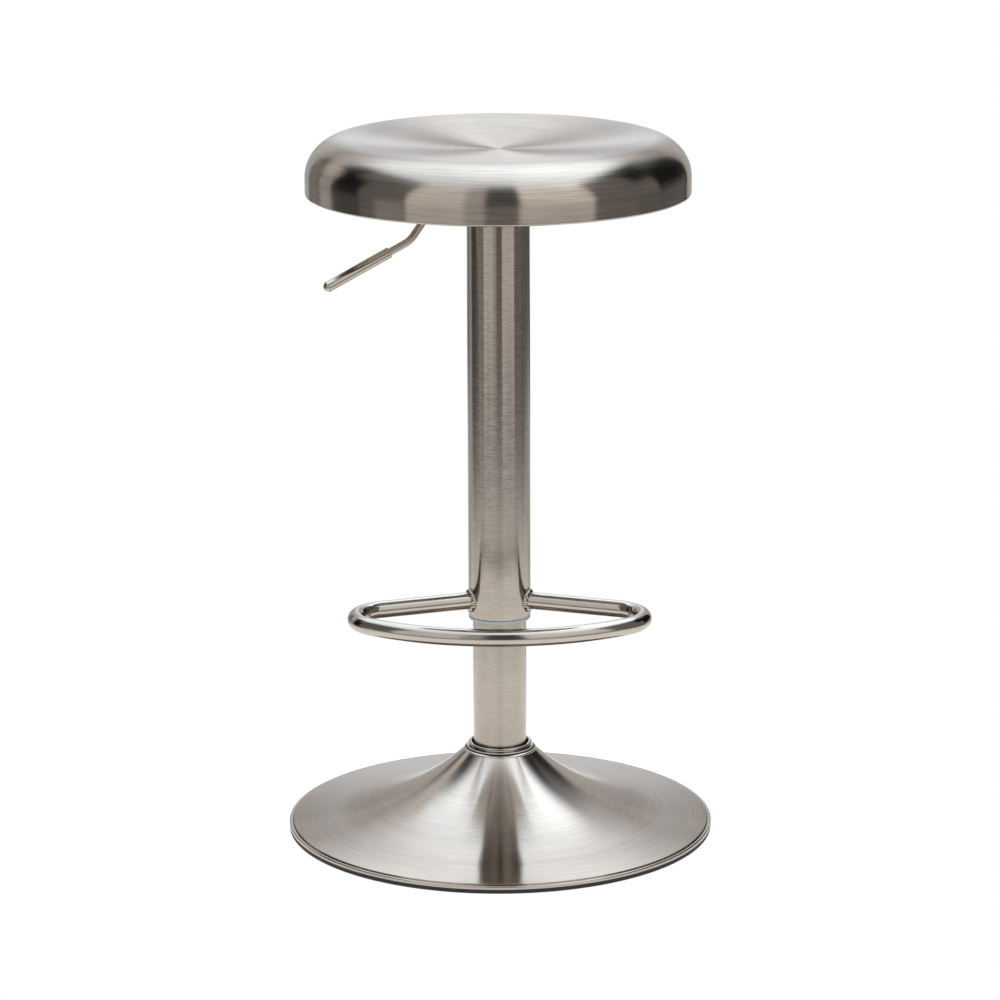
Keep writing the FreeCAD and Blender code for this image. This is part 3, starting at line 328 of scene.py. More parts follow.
class ModifierTree(TreeWork):
    """A Geometry Nodes tree under construction, with named inputs for its sizes."""

    def __init__(self, name: str) -> None:
        """Start the tree with a geometry socket on each side."""
        super().__init__(bpy.data.node_groups.new(name, "GeometryNodeTree"))
        for way in ("INPUT", "OUTPUT"):
            self.tree.interface.new_socket("Geometry", in_out=way, socket_type="NodeSocketGeometry")
        self.source = self.add("NodeGroupInput")
        self.sink = self.add("NodeGroupOutput")

    def size(self, name: str, socket_type: str) -> bpy.types.NodeSocket:
        """Add a named input and return its socket inside the tree."""
        self.tree.interface.new_socket(name, in_out="INPUT", socket_type=socket_type)
        return self.source.outputs[name]

    def finish(self, geometry: bpy.types.NodeSocket) -> bpy.types.NodeTree:
        """Realize the instances, set the material and end the tree."""
        material = self.size("Material", "NodeSocketMaterial")
        real = self.add("GeometryNodeRealizeInstances", Geometry=geometry)
        painted = self.add("GeometryNodeSetMaterial", Geometry=real.outputs[0], Material=material)
        self.tree.links.new(painted.outputs[0], self.sink.inputs[0])
        return self.tree


def tube_tree() -> bpy.types.NodeTree:
    """Build the tree that runs a round tube or a rippled weld bead along a path."""
    work = ModifierTree("Tube along path")
    radius = work.size("Radius", "NodeSocketFloat")
    sides = work.size("Sides", "NodeSocketInt")
    ripple = work.size("Ripple", "NodeSocketFloat")
    ripples = work.size("Ripples", "NodeSocketFloat")
    along = work.add("GeometryNodeSplineParameter").outputs["Factor"]
    wave = work.maths("SINE", work.product(along, ripples, math.tau))
    scale = work.maths("MULTIPLY_ADD", wave, ripple, 1.0)
    section = work.add("GeometryNodeCurvePrimitiveCircle", Resolution=sides, Radius=radius)
    run = work.add(
        "GeometryNodeCurveToMesh",
        Curve=work.source.outputs["Geometry"],
        Profile_Curve=section.outputs[0],
        Scale=scale,
        Fill_Caps=True,
    )
    smooth = work.add("GeometryNodeSetShadeSmooth", Geometry=run.outputs[0])
    return work.finish(smooth.outputs[0])


def pattern_tree() -> bpy.types.NodeTree:
    """Build the tree that sets a copy of one piece on each point of a mesh."""
    work = ModifierTree("Copies on points")
    pattern = work.size("Pattern", "NodeSocketObject")
    turn = work.size("Turn", "NodeSocketFloat")
    info = work.add("GeometryNodeObjectInfo", Object=pattern)
    index = work.add("GeometryNodeInputIndex").outputs[0]
    placed = work.add(
        "GeometryNodeInstanceOnPoints",
        Points=work.source.outputs["Geometry"],
        Instance=info.outputs["Geometry"],
        Rotation=work.add("ShaderNodeCombineXYZ", Z=work.maths("MULTIPLY", index, turn)).outputs[0],
    )
    return work.finish(placed.outputs[0])


def grow(
    name: str,
    host: bpy.types.Object,
    tree: bpy.types.NodeTree,
    material: bpy.types.Material,
    **sizes: object,
) -> bpy.types.Object:
    """Run a tree on a host object and keep the result as a plain mesh.

    Args:
        name: The new piece's name.
        host: The object that the tree works on. It is removed.
        tree: The Geometry Nodes tree.
        material: The finish that the tree sets.
        sizes: The tree's named inputs.

    Returns:
        The new piece, at the origin.
    """
    modifier = host.modifiers.new(tree.name, "NODES")
    modifier.node_group = tree
    wanted = {**sizes, "Material": material}
    for item in tree.interface.items_tree:
        if item.in_out == "INPUT" and item.name in wanted:
            modifier[item.identifier] = wanted[item.name]
    bpy.context.view_layer.update()
    evaluated = host.evaluated_get(bpy.context.evaluated_depsgraph_get())
    mesh = bpy.data.meshes.new_from_object(evaluated)
    mesh.name = name
    bpy.data.objects.remove(host)
    weld = bmesh.new()
    weld.from_mesh(mesh)
    bmesh.ops.remove_doubles(weld, verts=weld.verts, dist=TINY)
    bmesh.ops.recalc_face_normals(weld, faces=weld.faces)
    weld.to_mesh(mesh)
    weld.free()
    mesh.set_sharp_from_angle(angle=SMOOTH_BELOW)
    return new_piece(name, mesh)


# Finishes


NOISE_RANGE = Ramp(0.3, 0.7)
SCUFF_RANGE = Ramp(0.66, 0.78)


class ShaderTree(TreeWork):
    """Short calls that build a shader tree or group."""

    def mix(self, share: object, first: object, second: object) -> bpy.types.NodeSocket:
        """Mix two colours and return the result."""
        node = self.add("ShaderNodeMix", {"data_type": "RGBA"})
        # The node has sockets for every kind of data, and these are the share's and the colours'.
        for place, value in ((0, share), (6, first), (7, second)):
            self.feed(node.inputs[place], value)
        return node.outputs[2]

    def blend(self, share: object, first: bpy.types.Node, second: bpy.types.Node) -> bpy.types.NodeSocket:
        """Mix two shaders and return the result."""
        return self.ordered("ShaderNodeMixShader", {}, share, first.outputs[0], second.outputs[0]).outputs[0]

    def vector(self, operation: str, *terms: object, **named: object) -> bpy.types.Node:
        """Add a Vector Math node, its vectors in order and its other inputs by name."""
        node = self.ordered("ShaderNodeVectorMath", {"operation": operation}, *terms)
        for name, value in named.items():
            self.feed(node.inputs[name], value)
        return node

    def span(self, value: object, ramp: Ramp) -> bpy.types.NodeSocket:
        """Run a value through a ramp and return the result, held at both ends."""
        node = self.add(
            "ShaderNodeMapRange",
            Value=value,
            From_Min=ramp.low,
            From_Max=ramp.high,
            To_Min=ramp.start,
            To_Max=ramp.end,
        )
        return node.outputs["Result"]

    def edge(self, value: object, place: float, soft: float, rises: bool) -> bpy.types.NodeSocket:
        """Return 1 on one side of a place and 0 on the other, with a soft change between them."""
        start, end = (0.0, 1.0) if rises else (1.0, 0.0)
        return self.span(value, Ramp(place - soft, place + soft, start, end))


def colour(red: float, green: float, blue: float) -> tuple[float, float, float, float]:
    """Return a colour with full alpha."""
    return (red, green, blue, 1.0)


def shaded(base: tuple[float, ...], by: float) -> tuple[float, float, float, float]:
    """Return a colour made lighter or darker."""
    return colour(*(min(part * by, 1.0) for part in base[:3]))


class Effects:
    """Shader groups that several finishes use, each built once."""

    axis_guard: float = 1e-5
    grain_layers: tuple[tuple[float, float, float], ...] = (
        (1.0, 1.0, 2.0),
        (0.38, 2.3, 1.0),
        (9.0, 0.4, 1.0),
    )
    cloud_scale: float = 9.0
    hair_scale: float = 420.0
    hair_stretch: tuple[float, float, float] = (1.0, 0.06, 1.4)
    hair_turn: tuple[float, float, float] = (0.3, 0.5, 0.9)

    def __init__(self) -> None:
        """Build the groups."""
        self.round_grain = self._round_grain()
        self.handling = self._handling()

    @staticmethod
    def _group(
        name: str, inputs: dict[str, float], outputs: tuple[str, ...]
    ) -> tuple[ShaderTree, bpy.types.Node, bpy.types.Node]:
        """Start a group that takes a Vector and named numbers and puts out values.

        Args:
            name: The group's name.
            inputs: Each number's name and default.
            outputs: The names of the values it puts out.

        Returns:
            The group under construction, its input node and its output node.
        """
        tree = bpy.data.node_groups.new(name, "ShaderNodeTree")
        tree.interface.new_socket("Vector", in_out="INPUT", socket_type="NodeSocketVector")
        for label, default in inputs.items():
            socket = tree.interface.new_socket(label, in_out="INPUT", socket_type="NodeSocketFloat")
            socket.default_value = default
        for label in outputs:
            tree.interface.new_socket(label, in_out="OUTPUT", socket_type="NodeSocketFloat")
        work = ShaderTree(tree)
        return work, work.add("NodeGroupInput"), work.add("NodeGroupOutput")

    def _round_grain(self) -> bpy.types.NodeTree:
        """Fine lines that run round the Z axis, as spin brushing leaves them.

        The lines follow height and radius, and drift slowly with the bearing, which enters as a point on a
        circle so that no seam shows.
        """
        inputs = {"Line Width": 0.001, "Streak": 3.0, "Fine Share": 0.5}
        work, source, sink = self._group("Round grain", inputs, ("Lines", "Bands"))
        across, along, height = work.add("ShaderNodeSeparateXYZ", Vector=source.outputs["Vector"]).outputs
        squares = work.maths("ADD", work.maths("POWER", across, 2.0), work.maths("POWER", along, 2.0))
        radius = work.maths("MAXIMUM", work.maths("SQRT", squares), self.axis_guard)
        cosine = work.maths("DIVIDE", across, radius)
        sine = work.maths("DIVIDE", along, radius)
        layers = []
        for width_by, streak_by, detail in self.grain_layers:
            width = work.maths("MULTIPLY", source.outputs["Line Width"], width_by)
            streak = work.maths("MULTIPLY", source.outputs["Streak"], streak_by)
            place = work.add(
                "ShaderNodeCombineXYZ",
                X=work.maths("MULTIPLY", cosine, streak),
                Y=work.maths("MULTIPLY", sine, streak),
                Z=work.maths("DIVIDE", radius, width),
            )
            noise = work.add(
                "ShaderNodeTexNoise",
                {"noise_dimensions": "4D"},
                Vector=place.outputs[0],
                W=work.maths("DIVIDE", height, width),
                Scale=1.0,
                Detail=detail,
                Roughness=0.6,
            )
            layers.append(noise.outputs["Fac"])
        fine = work.product(work.maths("SUBTRACT", layers[1], layers[0]), source.outputs["Fine Share"])
        work.feed(sink.inputs["Lines"], work.maths("ADD", layers[0], fine))
        work.feed(sink.inputs["Bands"], layers[2])
        return work.tree

    def _handling(self) -> bpy.types.NodeTree:
        """Faint cloudy marks and hairline scuffs from handling."""
        work, source, sink = self._group("Handling", {"Scale": 1.0}, ("Clouds", "Scuffs"))
        size = source.outputs["Scale"]
        clouds = work.add(
            "ShaderNodeTexNoise",
            Vector=source.outputs["Vector"],
            Scale=work.maths("MULTIPLY", size, self.cloud_scale),
            Detail=3.0,
            Roughness=0.55,
        )
        stretched = work.add(
            "ShaderNodeMapping",
            Vector=source.outputs["Vector"],
            Rotation=self.hair_turn,
            Scale=self.hair_stretch,
        )
        hair = work.add(
            "ShaderNodeTexNoise",
            Vector=stretched.outputs[0],
            Scale=work.maths("MULTIPLY", size, self.hair_scale),
            Detail=2.0,
            Roughness=0.7,
        )
        work.feed(sink.inputs["Clouds"], clouds.outputs["Fac"])
        work.feed(sink.inputs["Scuffs"], work.span(hair.outputs["Fac"], SCUFF_RANGE))
        return work.tree


@dataclass(frozen=True)
class Finish(ABC):
    """A finish that builds its own material."""

    slot: Slot
    tint: tuple[float, ...]
    roughness: float

    @abstractmethod
    def dress(self, work: ShaderTree, shader: bpy.types.Node, effects: Effects) -> None:
        """Wire the finish's colour, roughness and relief into the shader."""

    def build(self, effects: Effects) -> bpy.types.Material:
        """Build the material.

        Args:
            effects: The shared shader groups.

        Returns:
            The material, named after the record's slot.
        """
        material = bpy.data.materials.new(self.slot.value)
        material.use_nodes = True
        shader = material.node_tree.nodes["Principled BSDF"]
        self.dress(ShaderTree(material.node_tree), shader, effects)
        return material

    @staticmethod
    def object_place(work: ShaderTree) -> bpy.types.NodeSocket:
        """Return the Object coordinates."""
        return work.add("ShaderNodeTexCoord").outputs["Object"]

    @staticmethod
    def grouped(work: ShaderTree, tree: bpy.types.NodeTree, **wired: object) -> bpy.types.Node:
        """Place a shared group with its own values."""
        return work.add("ShaderNodeGroup", {"node_tree": tree}, **wired)

    @staticmethod
    def raise_relief(
        work: ShaderTree, shader: bpy.types.Node, height: object, strength: float, depth: float
    ) -> None:
        """Feed a height into the shader's normal."""
        bump = work.add("ShaderNodeBump", Strength=strength, Distance=depth, Height=height)
        work.feed(shader.inputs["Normal"], bump.outputs["Normal"])


@dataclass(frozen=True)
class SpunBrushedSteel(Finish):
    """Satin steel, brushed while it turned, so that its grain runs round the axis."""

    anisotropy: float
    line_width: float
    streak: float
    tone: float
    relief: float
    depth: float = 0.00006
    fine_share: float = 0.55
    band_share: float = 0.3
    band_tone: float = 0.6
    line_gloss: tuple[float, float] = (0.07, 0.05)
    cloud_gloss: float = 0.03
    scuff_gloss: float = 0.05
    seat_above: float = 600.0
    dish_gloss: Ramp = Ramp(141.9, 165.0, 0.09, 0.0)
    dish_eye: Ramp = Ramp(10.0, 100.0, 2.1, 1.0)
    bell_beyond: float = 31.0
    bell_gloss: Ramp = Ramp(31.0, 120.0, -0.02, 0.0)
    # Painted light on the bell: a painted highlight near the neck and painted shade further out, as a share
    # of its colour.
    bell_painted_light: Ramp = Ramp(75.0, 120.0, 0.16, -0.12)
    bell_calm: Ramp = Ramp(31.0, 120.0, 0.75, 0.25)
    bell_relief: float = 0.4

    def dress(self, work: ShaderTree, shader: bpy.types.Node, effects: Effects) -> None:
        """Wire the grain into colour, roughness and relief, stretch the gloss across it, and paint light
        onto the bell.
        """
        place = self.object_place(work)
        grain = self.grouped(
            work,
            effects.round_grain,
            Vector=place,
            Line_Width=self.line_width * MM,
            Streak=self.streak,
            Fine_Share=self.fine_share,
        )
        wear = self.grouped(work, effects.handling, Vector=place, Scale=1.0)
        across, along, height = work.add("ShaderNodeSeparateXYZ", Vector=place).outputs
        flat = work.add("ShaderNodeCombineXYZ", X=across, Y=along, Z=0.0)
        reach = work.vector("LENGTH", flat.outputs[0]).outputs["Value"]
        radius = work.maths("DIVIDE", reach, MM)
        seat = work.maths("GREATER_THAN", height, self.seat_above * MM)
        below_seat = work.maths("SUBTRACT", 1.0, seat)
        bell = work.product(work.maths("GREATER_THAN", radius, self.bell_beyond), below_seat)
        calm = work.product(bell, work.span(radius, self.bell_calm))
        # Colour
        lines = work.span(grain.outputs["Lines"], NOISE_RANGE)
        lines = work.maths("MULTIPLY_ADD", calm, work.maths("SUBTRACT", 0.5, lines), lines)
        bands = work.product(work.span(grain.outputs["Bands"], NOISE_RANGE), self.band_share)
        brushed = work.mix(lines, shaded(self.tint, 1 - self.tone), shaded(self.tint, 1 + self.tone))
        banded = work.mix(bands, brushed, shaded(self.tint, 1 - self.tone * self.band_tone))
        # Painted light: the bell's colour is scaled by its radius, lighter near the neck as a painted
        # highlight and darker further out as painted shade.
        tone = work.maths("MULTIPLY_ADD", bell, work.span(radius, self.bell_painted_light), 1.0)
        work.feed(shader.inputs["Base Color"], work.vector("SCALE", banded, Scale=tone).outputs[0])
        # Gloss
        rougher, smoothest = self.line_gloss
        rough = work.maths("MULTIPLY_ADD", lines, rougher, self.roughness - smoothest)
        dish = work.product(work.span(radius, self.dish_gloss), work.span(radius, self.dish_eye))
        rough = work.maths("MULTIPLY_ADD", seat, dish, rough)
        rough = work.maths("MULTIPLY_ADD", bell, work.span(radius, self.bell_gloss), rough)
        clouds = work.span(wear.outputs["Clouds"], NOISE_RANGE)
        rough = work.maths("MULTIPLY_ADD", clouds, self.cloud_gloss, rough)
        rough = work.maths("MULTIPLY_ADD", wear.outputs["Scuffs"], self.scuff_gloss, rough)
        work.feed(shader.inputs["Roughness"], rough)
        # Relief
        smoother = work.maths("MULTIPLY_ADD", bell, self.bell_relief - 1, 1.0)
        ridges = work.product(grain.outputs["Lines"], smoother)
        self.raise_relief(work, shader, ridges, self.relief, self.depth)
        tangent = work.add("ShaderNodeTangent", {"direction_type": "UV_MAP", "uv_map": UV_NAME})
        work.feed(shader.inputs["Tangent"], tangent.outputs[0])
        work.feed(shader.inputs["Metallic"], 1.0)
        work.feed(shader.inputs["Anisotropic"], self.anisotropy)


@dataclass(frozen=True)
class WorkedMetal(Finish):
    """Polished, plated, turned or cast metal without a lay of its own."""

    tone: float
    mottle: float
    relief: float
    depth: float
    wear_scale: float = 1.6
    least: float = 0.85
    mottle_gloss: float = 0.25
    cloud_gloss: float = 0.2
    scuff_gloss: float = 0.06

    def dress(self, work: ShaderTree, shader: bpy.types.Node, effects: Effects) -> None:
        """Wire mottling, clouds and scuffs into colour, roughness and relief."""
        place = self.object_place(work)
        wear = self.grouped(work, effects.handling, Vector=place, Scale=self.wear_scale)
        noise = work.add("ShaderNodeTexNoise", Vector=place, Scale=self.mottle, Detail=4.0, Roughness=0.6)
        spread = work.span(noise.outputs["Fac"], NOISE_RANGE)
        tinted = work.mix(spread, shaded(self.tint, 1 - self.tone), shaded(self.tint, 1 + self.tone))
        work.feed(shader.inputs["Base Color"], tinted)
        gloss = self.roughness
        rough = work.maths("MULTIPLY_ADD", spread, gloss * self.mottle_gloss, gloss * self.least)
        rough = work.maths("MULTIPLY_ADD", wear.outputs["Clouds"], gloss * self.cloud_gloss, rough)
        rough = work.maths("MULTIPLY_ADD", wear.outputs["Scuffs"], self.scuff_gloss, rough)
        work.feed(shader.inputs["Roughness"], rough)
        self.raise_relief(work, shader, noise.outputs["Fac"], self.relief, self.depth)
        work.feed(shader.inputs["Metallic"], 1.0)


@dataclass(frozen=True)
class Moulded(Finish):
    """Moulded rubber or plastic, or a matt paint, with a fine leathery skin."""

    grain: float
    relief: float
    depth: float = 0.0002
    wear_scale: float = 1.2
    darkest: float = 0.85
    lightest: float = 1.2
    cloud_gloss: float = 0.12

    def dress(self, work: ShaderTree, shader: bpy.types.Node, effects: Effects) -> None:
        """Wire the skin's pits into relief and its clouds into colour and roughness."""
        place = self.object_place(work)
        wear = self.grouped(work, effects.handling, Vector=place, Scale=self.wear_scale)
        pits = work.add("ShaderNodeTexVoronoi", {"feature": "SMOOTH_F1"}, Vector=place, Scale=self.grain)
        clouds = work.span(wear.outputs["Clouds"], NOISE_RANGE)
        tinted = work.mix(clouds, shaded(self.tint, self.darkest), shaded(self.tint, self.lightest))
        work.feed(shader.inputs["Base Color"], tinted)
        lowest = self.roughness - self.cloud_gloss / 2
        work.feed(shader.inputs["Roughness"], work.maths("MULTIPLY_ADD", clouds, self.cloud_gloss, lowest))
        self.raise_relief(work, shader, pits.outputs["Distance"], self.relief, self.depth)


# The numbers after a tint: roughness, tone, mottle, relief and depth, or roughness, grain and relief.
FINISHES: tuple[Finish, ...] = (
    SpunBrushedSteel(
        Slot.BRUSHED,
        colour(0.60, 0.517, 0.437),
        roughness=0.17,
        anisotropy=0.99,
        line_width=1.1,
        streak=3.0,
        tone=0.25,
        relief=0.18,
    ),
    WorkedMetal(Slot.POLISHED, colour(0.60, 0.532, 0.462), 0.11, 0.03, 40.0, 0.01, 0.0003),
    WorkedMetal(Slot.ZINC, colour(0.62, 0.63, 0.64), 0.32, 0.10, 180.0, 0.10, 0.0003),
    WorkedMetal(Slot.BEARING, colour(0.70, 0.70, 0.71), 0.12, 0.02, 300.0, 0.02, 0.0001),
    Moulded(Slot.BLACK_STEEL, colour(0.022, 0.022, 0.023), 0.42, 900.0, 0.20),
    WorkedMetal(Slot.IRON, colour(0.13, 0.125, 0.12), 0.62, 0.25, 220.0, 0.60, 0.0010),
    Moulded(Slot.RUBBER, colour(0.016, 0.016, 0.017), 0.62, 1400.0, 0.25),
    Moulded(Slot.PALE_PLASTIC, colour(0.60, 0.62, 0.64), 0.38, 1100.0, 0.10),
    Moulded(Slot.BLACK_PLASTIC, colour(0.022, 0.022, 0.024), 0.40, 1100.0, 0.15),
    WorkedMetal(Slot.ALUMINIUM, colour(0.70, 0.71, 0.72), 0.30, 0.05, 250.0, 0.10, 0.0002),
    WorkedMetal(Slot.BRASS, colour(0.70, 0.52, 0.27), 0.26, 0.06, 250.0, 0.10, 0.0002),
)


class Workshop:
    """The finishes, the trees and the bookkeeping that every sub-assembly uses."""

    def __init__(self) -> None:
        """Build the shared effects, the materials and the Geometry Nodes trees."""
        effects = Effects()
        self.materials = {finish.slot: finish.build(effects) for finish in FINISHES}
        self.tube = tube_tree()
        self.pattern = pattern_tree()

    def fit(self, piece: bpy.types.Object, body: Body, slot: Slot, *nodes: str) -> None:
        """Dress a piece, let it ride on its body and stand for its CAD nodes.

        Args:
            piece: The piece.
            body: The body it moves with.
            slot: The record's slot it takes its finish from.
            nodes: The CAD nodes it replaces.
        """
        if not piece.data.materials:
            piece.data.materials.append(self.materials[slot])
        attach(piece, body.value)
        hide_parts(*nodes)
        LOG.info("%s: %d faces on %s, %s", piece.name, len(piece.data.polygons), body.value, slot.value)

    def turn(
        self, name: str, outline: list[Vector], segments: int, body: Body, slot: Slot, node: str
    ) -> None:
        """Spin a section into a piece, dress it and let it stand for one CAD node."""
        self.fit(spin(name, outline, segments), body, slot, node)

    def run_tube(
        self,
        name: str,
        paths: list[list[Vector]],
        radius: float,
        sides: int,
        slot: Slot,
        ripple: float = 0.0,
        ripples: float = 0.0,
    ) -> bpy.types.Object:
        """Run a round tube, or a rippled bead that closes on itself, along each path.

        Args:
            name: The piece's name.
            paths: The paths' points in millimetres.
            radius: The tube's radius in millimetres.
            sides: How many sides its section has.
            slot: The finish.
            ripple: How far a bead's radius swells and shrinks along its path, as a share.
            ripples: How many swells there are.

        Returns:
            The piece.
        """
        return grow(
            name,
            path_curve(name + "_path", paths, ripple > 0),
            self.tube,
            self.materials[slot],
            Radius=radius * MM,
            Sides=sides,
            Ripple=ripple,
            Ripples=ripples,
        )

    def set_copies(
        self, name: str, pattern: bpy.types.Object, places: list[Vector], slot: Slot, turn: float
    ) -> bpy.types.Object:
        """Set copies of a pattern piece on places given in millimetres, each turned a little more."""
        host = bpy.data.meshes.new(name + "_places")
        host.from_pydata([tuple(place * MM) for place in places], [], [])
        made = grow(
            name,
            new_piece(name + "_places", host),
            self.pattern,
            self.materials[slot],
            Pattern=pattern,
            Turn=turn,
        )
        bpy.data.objects.remove(pattern)
        return made


# Sub-assemblies


@dataclass
class Seat:
    """Pressed seat pan: hem, skirt, rounded edge, crest and shallow dish."""

    height: float = 657.5
    radius: float = 176.75
    depth: float = 51.0
    rounding: float = 35.4
    sheet: float = 1.5
    dish_depth: float = 10.5
    crest_rounding: float = 120.0
    hem_rounding: float = 2.2
    hem_width: float = 6.0
    edge_ease: float = 0.35
    segments: int = 288

    def outline(self) -> list[Vector]:
        """Return the pan's section from the hem up to the middle of the dish and back below it."""
        crest = self.radius - self.rounding
        turn = 2 * math.atan(self.dish_depth / crest)
        dish = crest / math.sin(turn) - self.crest_rounding
        join_out = crest - self.crest_rounding * math.sin(turn)
        join_up = self.height - self.crest_rounding * (1 - math.cos(turn))
        bottom = self.height - self.depth
        shoulder = self.height - self.rounding
        inside = self.radius - self.sheet
        under_out = join_out + self.sheet * math.sin(turn)
        under_up = join_up - self.sheet * math.cos(turn)
        hem_bend = self.hem_rounding - self.sheet
        return trace(
            [
                (self.radius - self.hem_width, bottom),
                (self.radius - self.hem_rounding, bottom),
                (self.radius, bottom + self.hem_rounding, self.hem_rounding, 1),
                (self.radius, shoulder),
                (crest, self.height, self.rounding, 1),
                (join_out, join_up, self.crest_rounding, 1),
                (0.0, self.height - self.dish_depth, dish, -1),
                (0.0, self.height - self.dish_depth - self.sheet),
                (under_out, under_up, dish + self.sheet, 1),
                (crest, self.height - self.sheet, self.crest_rounding - self.sheet, -1),
                (inside, shoulder, self.rounding - self.sheet, -1),
                (inside, bottom + self.hem_rounding),
                (self.radius - self.hem_rounding, bottom + self.sheet, hem_bend, -1),
                (self.radius - self.hem_width, bottom + self.sheet),
            ],
            ease=self.edge_ease,
        )

    def build(self, shop: Workshop) -> None:
        """Make the pan."""
        shop.turn("seat_pan_spun", self.outline(), self.segments, Body.SEAT_COLUMN, Slot.BRUSHED, "seat_pan")


@dataclass
class SeatFixings:
    """Four hex bolts and washers under the mount plate."""

    pitch: float = 100.0
    plate_bottom: float = 633.5
    plate_top: float = 640.0
    washer_radius: float = 8.0
    washer_bore: float = 4.5
    washer_thickness: float = 1.6
    head_radius: float = 7.5
    head_height: float = 5.3
    head_chamfer: float = 0.7
    chamfer_slope: float = 0.6
    shank_radius: float = 4.0
    shank_above: float = 7.1
    bolt_turn: float = 17.0
    washer_ease: float = 0.25
    segments: int = 48

    def places(self) -> list[Vector]:
        """Return the four bolt axes at the washers' underside."""
        half = self.pitch / 2
        up = self.plate_bottom - self.washer_thickness
        return [Vector((x * half, y * half, up)) for x, y in ((1, 1), (-1, 1), (-1, -1), (1, -1))]

    def bolt(self) -> bpy.types.Object:
        """Make one bolt about the Z axis: chamfered hex head below zero and its shank above."""
        half_side = math.pi / 6
        reach = self.head_radius * math.cos(half_side)
        hexagon = []
        for step in range(self.segments):
            lean = (math.tau * step / self.segments + half_side) % (2 * half_side) - half_side
            hexagon.append(min(reach / math.cos(lean), self.head_radius))
        face = [reach - self.head_chamfer] * self.segments
        shank = [self.shank_radius] * self.segments
        chamfer_top = self.head_chamfer * self.chamfer_slope - self.head_height
        shank_top = self.plate_top - self.plate_bottom + self.washer_thickness + self.shank_above
        head = ((face, -self.head_height), (hexagon, chamfer_top), (hexagon, 0.0))
        shell = bmesh.new()
        rows = [ring_of(shell, reaches, up) for reaches, up in (*head, (shank, 0.0), (shank, shank_top))]
        for row, other in zip(rows, rows[1:]):
            for step in range(self.segments):
                after = (step + 1) % self.segments
                shell.faces.new((row[step], row[after], other[after], other[step]))
        shell.faces.new(rows[0])
        shell.faces.new(rows[-1])
        return closed_piece("bolt_pattern", shell)

    def washer(self) -> bpy.types.Object:
        """Make one washer about the Z axis."""
        section = [
            (self.washer_bore, 0.0),
            (self.washer_radius, 0.0),
            (self.washer_radius, self.washer_thickness),
            (self.washer_bore, self.washer_thickness),
        ]
        return spin("washer_pattern", trace(section, ease=self.washer_ease), self.segments)

    def build(self, shop: Workshop) -> None:
        """Set the bolts and washers."""
        turn = math.radians(self.bolt_turn)
        bolts = shop.set_copies("seat_bolts_hex", self.bolt(), self.places(), Slot.ZINC, turn)
        shop.fit(bolts, Body.SEAT_COLUMN, Slot.ZINC, "seat_bolts")
        washers = shop.set_copies("seat_washers_round", self.washer(), self.places(), Slot.ZINC, 0.0)
        shop.fit(washers, Body.SEAT_COLUMN, Slot.ZINC, "seat_washers")


@dataclass
class Column:
    """Stand tube, the wider cover tube that rides over it, and the pale bush in the cover's mouth."""

    tube_radius: float = 25.0
    tube_wall: float = 2.0
    tube_foot: float = 12.0
    foot_length: float = 60.0
    foot_radius: float = 23.4938
    foot_floor: float = 3.0
    foot_hole: float = 4.4
    tube_top: float = 450.0
    tube_chamfer: float = 0.8
    cover_radius: float = 29.0
    cover_bore: float = 27.5
    cover_bottom: float = 206.7
    cover_top: float = 597.5
    bush_bore: float = 25.1
    bush_flange: float = 3.7
    bush_flange_radius: float = 28.9
    bush_recess: float = 0.5
    bush_rounding: float = 1.2
    bush_length: float = 40.0
    tube_ease: float = 0.2
    cover_ease: float = 0.45
    bush_ease: float = 0.3
    segments: int = 128
    cover_segments: int = 144

    def stand_tube(self) -> list[Vector]:
        """Return the stand tube's section."""
        bore = self.tube_radius - self.tube_wall
        foot_top = self.tube_foot + self.foot_length
        floor_top = self.tube_foot + self.foot_floor
        return trace(
            [
                (self.foot_hole, self.tube_foot),
                (self.foot_radius, self.tube_foot),
                (self.tube_radius, foot_top),
                (self.tube_radius, self.tube_top - self.tube_chamfer),
                (self.tube_radius - self.tube_chamfer, self.tube_top),
                (bore, self.tube_top),
                (bore, foot_top),
                (self.foot_radius - self.tube_wall, floor_top),
                (self.foot_hole, floor_top),
            ],
            ease=self.tube_ease,
        )

    def cover_tube(self) -> list[Vector]:
        """Return the cover tube's section."""
        return trace(
            [
                (self.cover_bore, self.cover_bottom),
                (self.cover_radius, self.cover_bottom),
                (self.cover_radius, self.cover_top),
                (self.cover_bore, self.cover_top),
            ],
            ease=self.cover_ease,
        )

    def bush(self) -> list[Vector]:
        """Return the bush's section."""
        bottom = self.cover_bottom - self.bush_flange
        return trace(
            [
                (self.bush_bore, bottom),
                (self.bush_flange_radius - self.bush_rounding, bottom),
                (self.bush_flange_radius, bottom + self.bush_rounding, self.bush_rounding, 1),
                (self.bush_flange_radius, self.cover_bottom - self.bush_recess),
                (self.cover_bore, self.cover_bottom - self.bush_recess),
                (self.cover_bore, self.cover_bottom + self.bush_length),
                (self.bush_bore, self.cover_bottom + self.bush_length),
            ],
            ease=self.bush_ease,
        )

    def build(self, shop: Workshop) -> None:
        """Make the three turned pieces."""
        stand, cover, bush = self.stand_tube(), self.cover_tube(), self.bush()
        rides = Body.SEAT_COLUMN
        shop.turn("stand_tube_brushed", stand, self.segments, Body.BASE, Slot.BRUSHED, "stand_tube")
        shop.turn("cover_tube_brushed", cover, self.cover_segments, rides, Slot.BRUSHED, "column_cover_tube")
        shop.turn("glide_bush_moulded", bush, self.segments, rides, Slot.PALE_PLASTIC, "glide_bush")


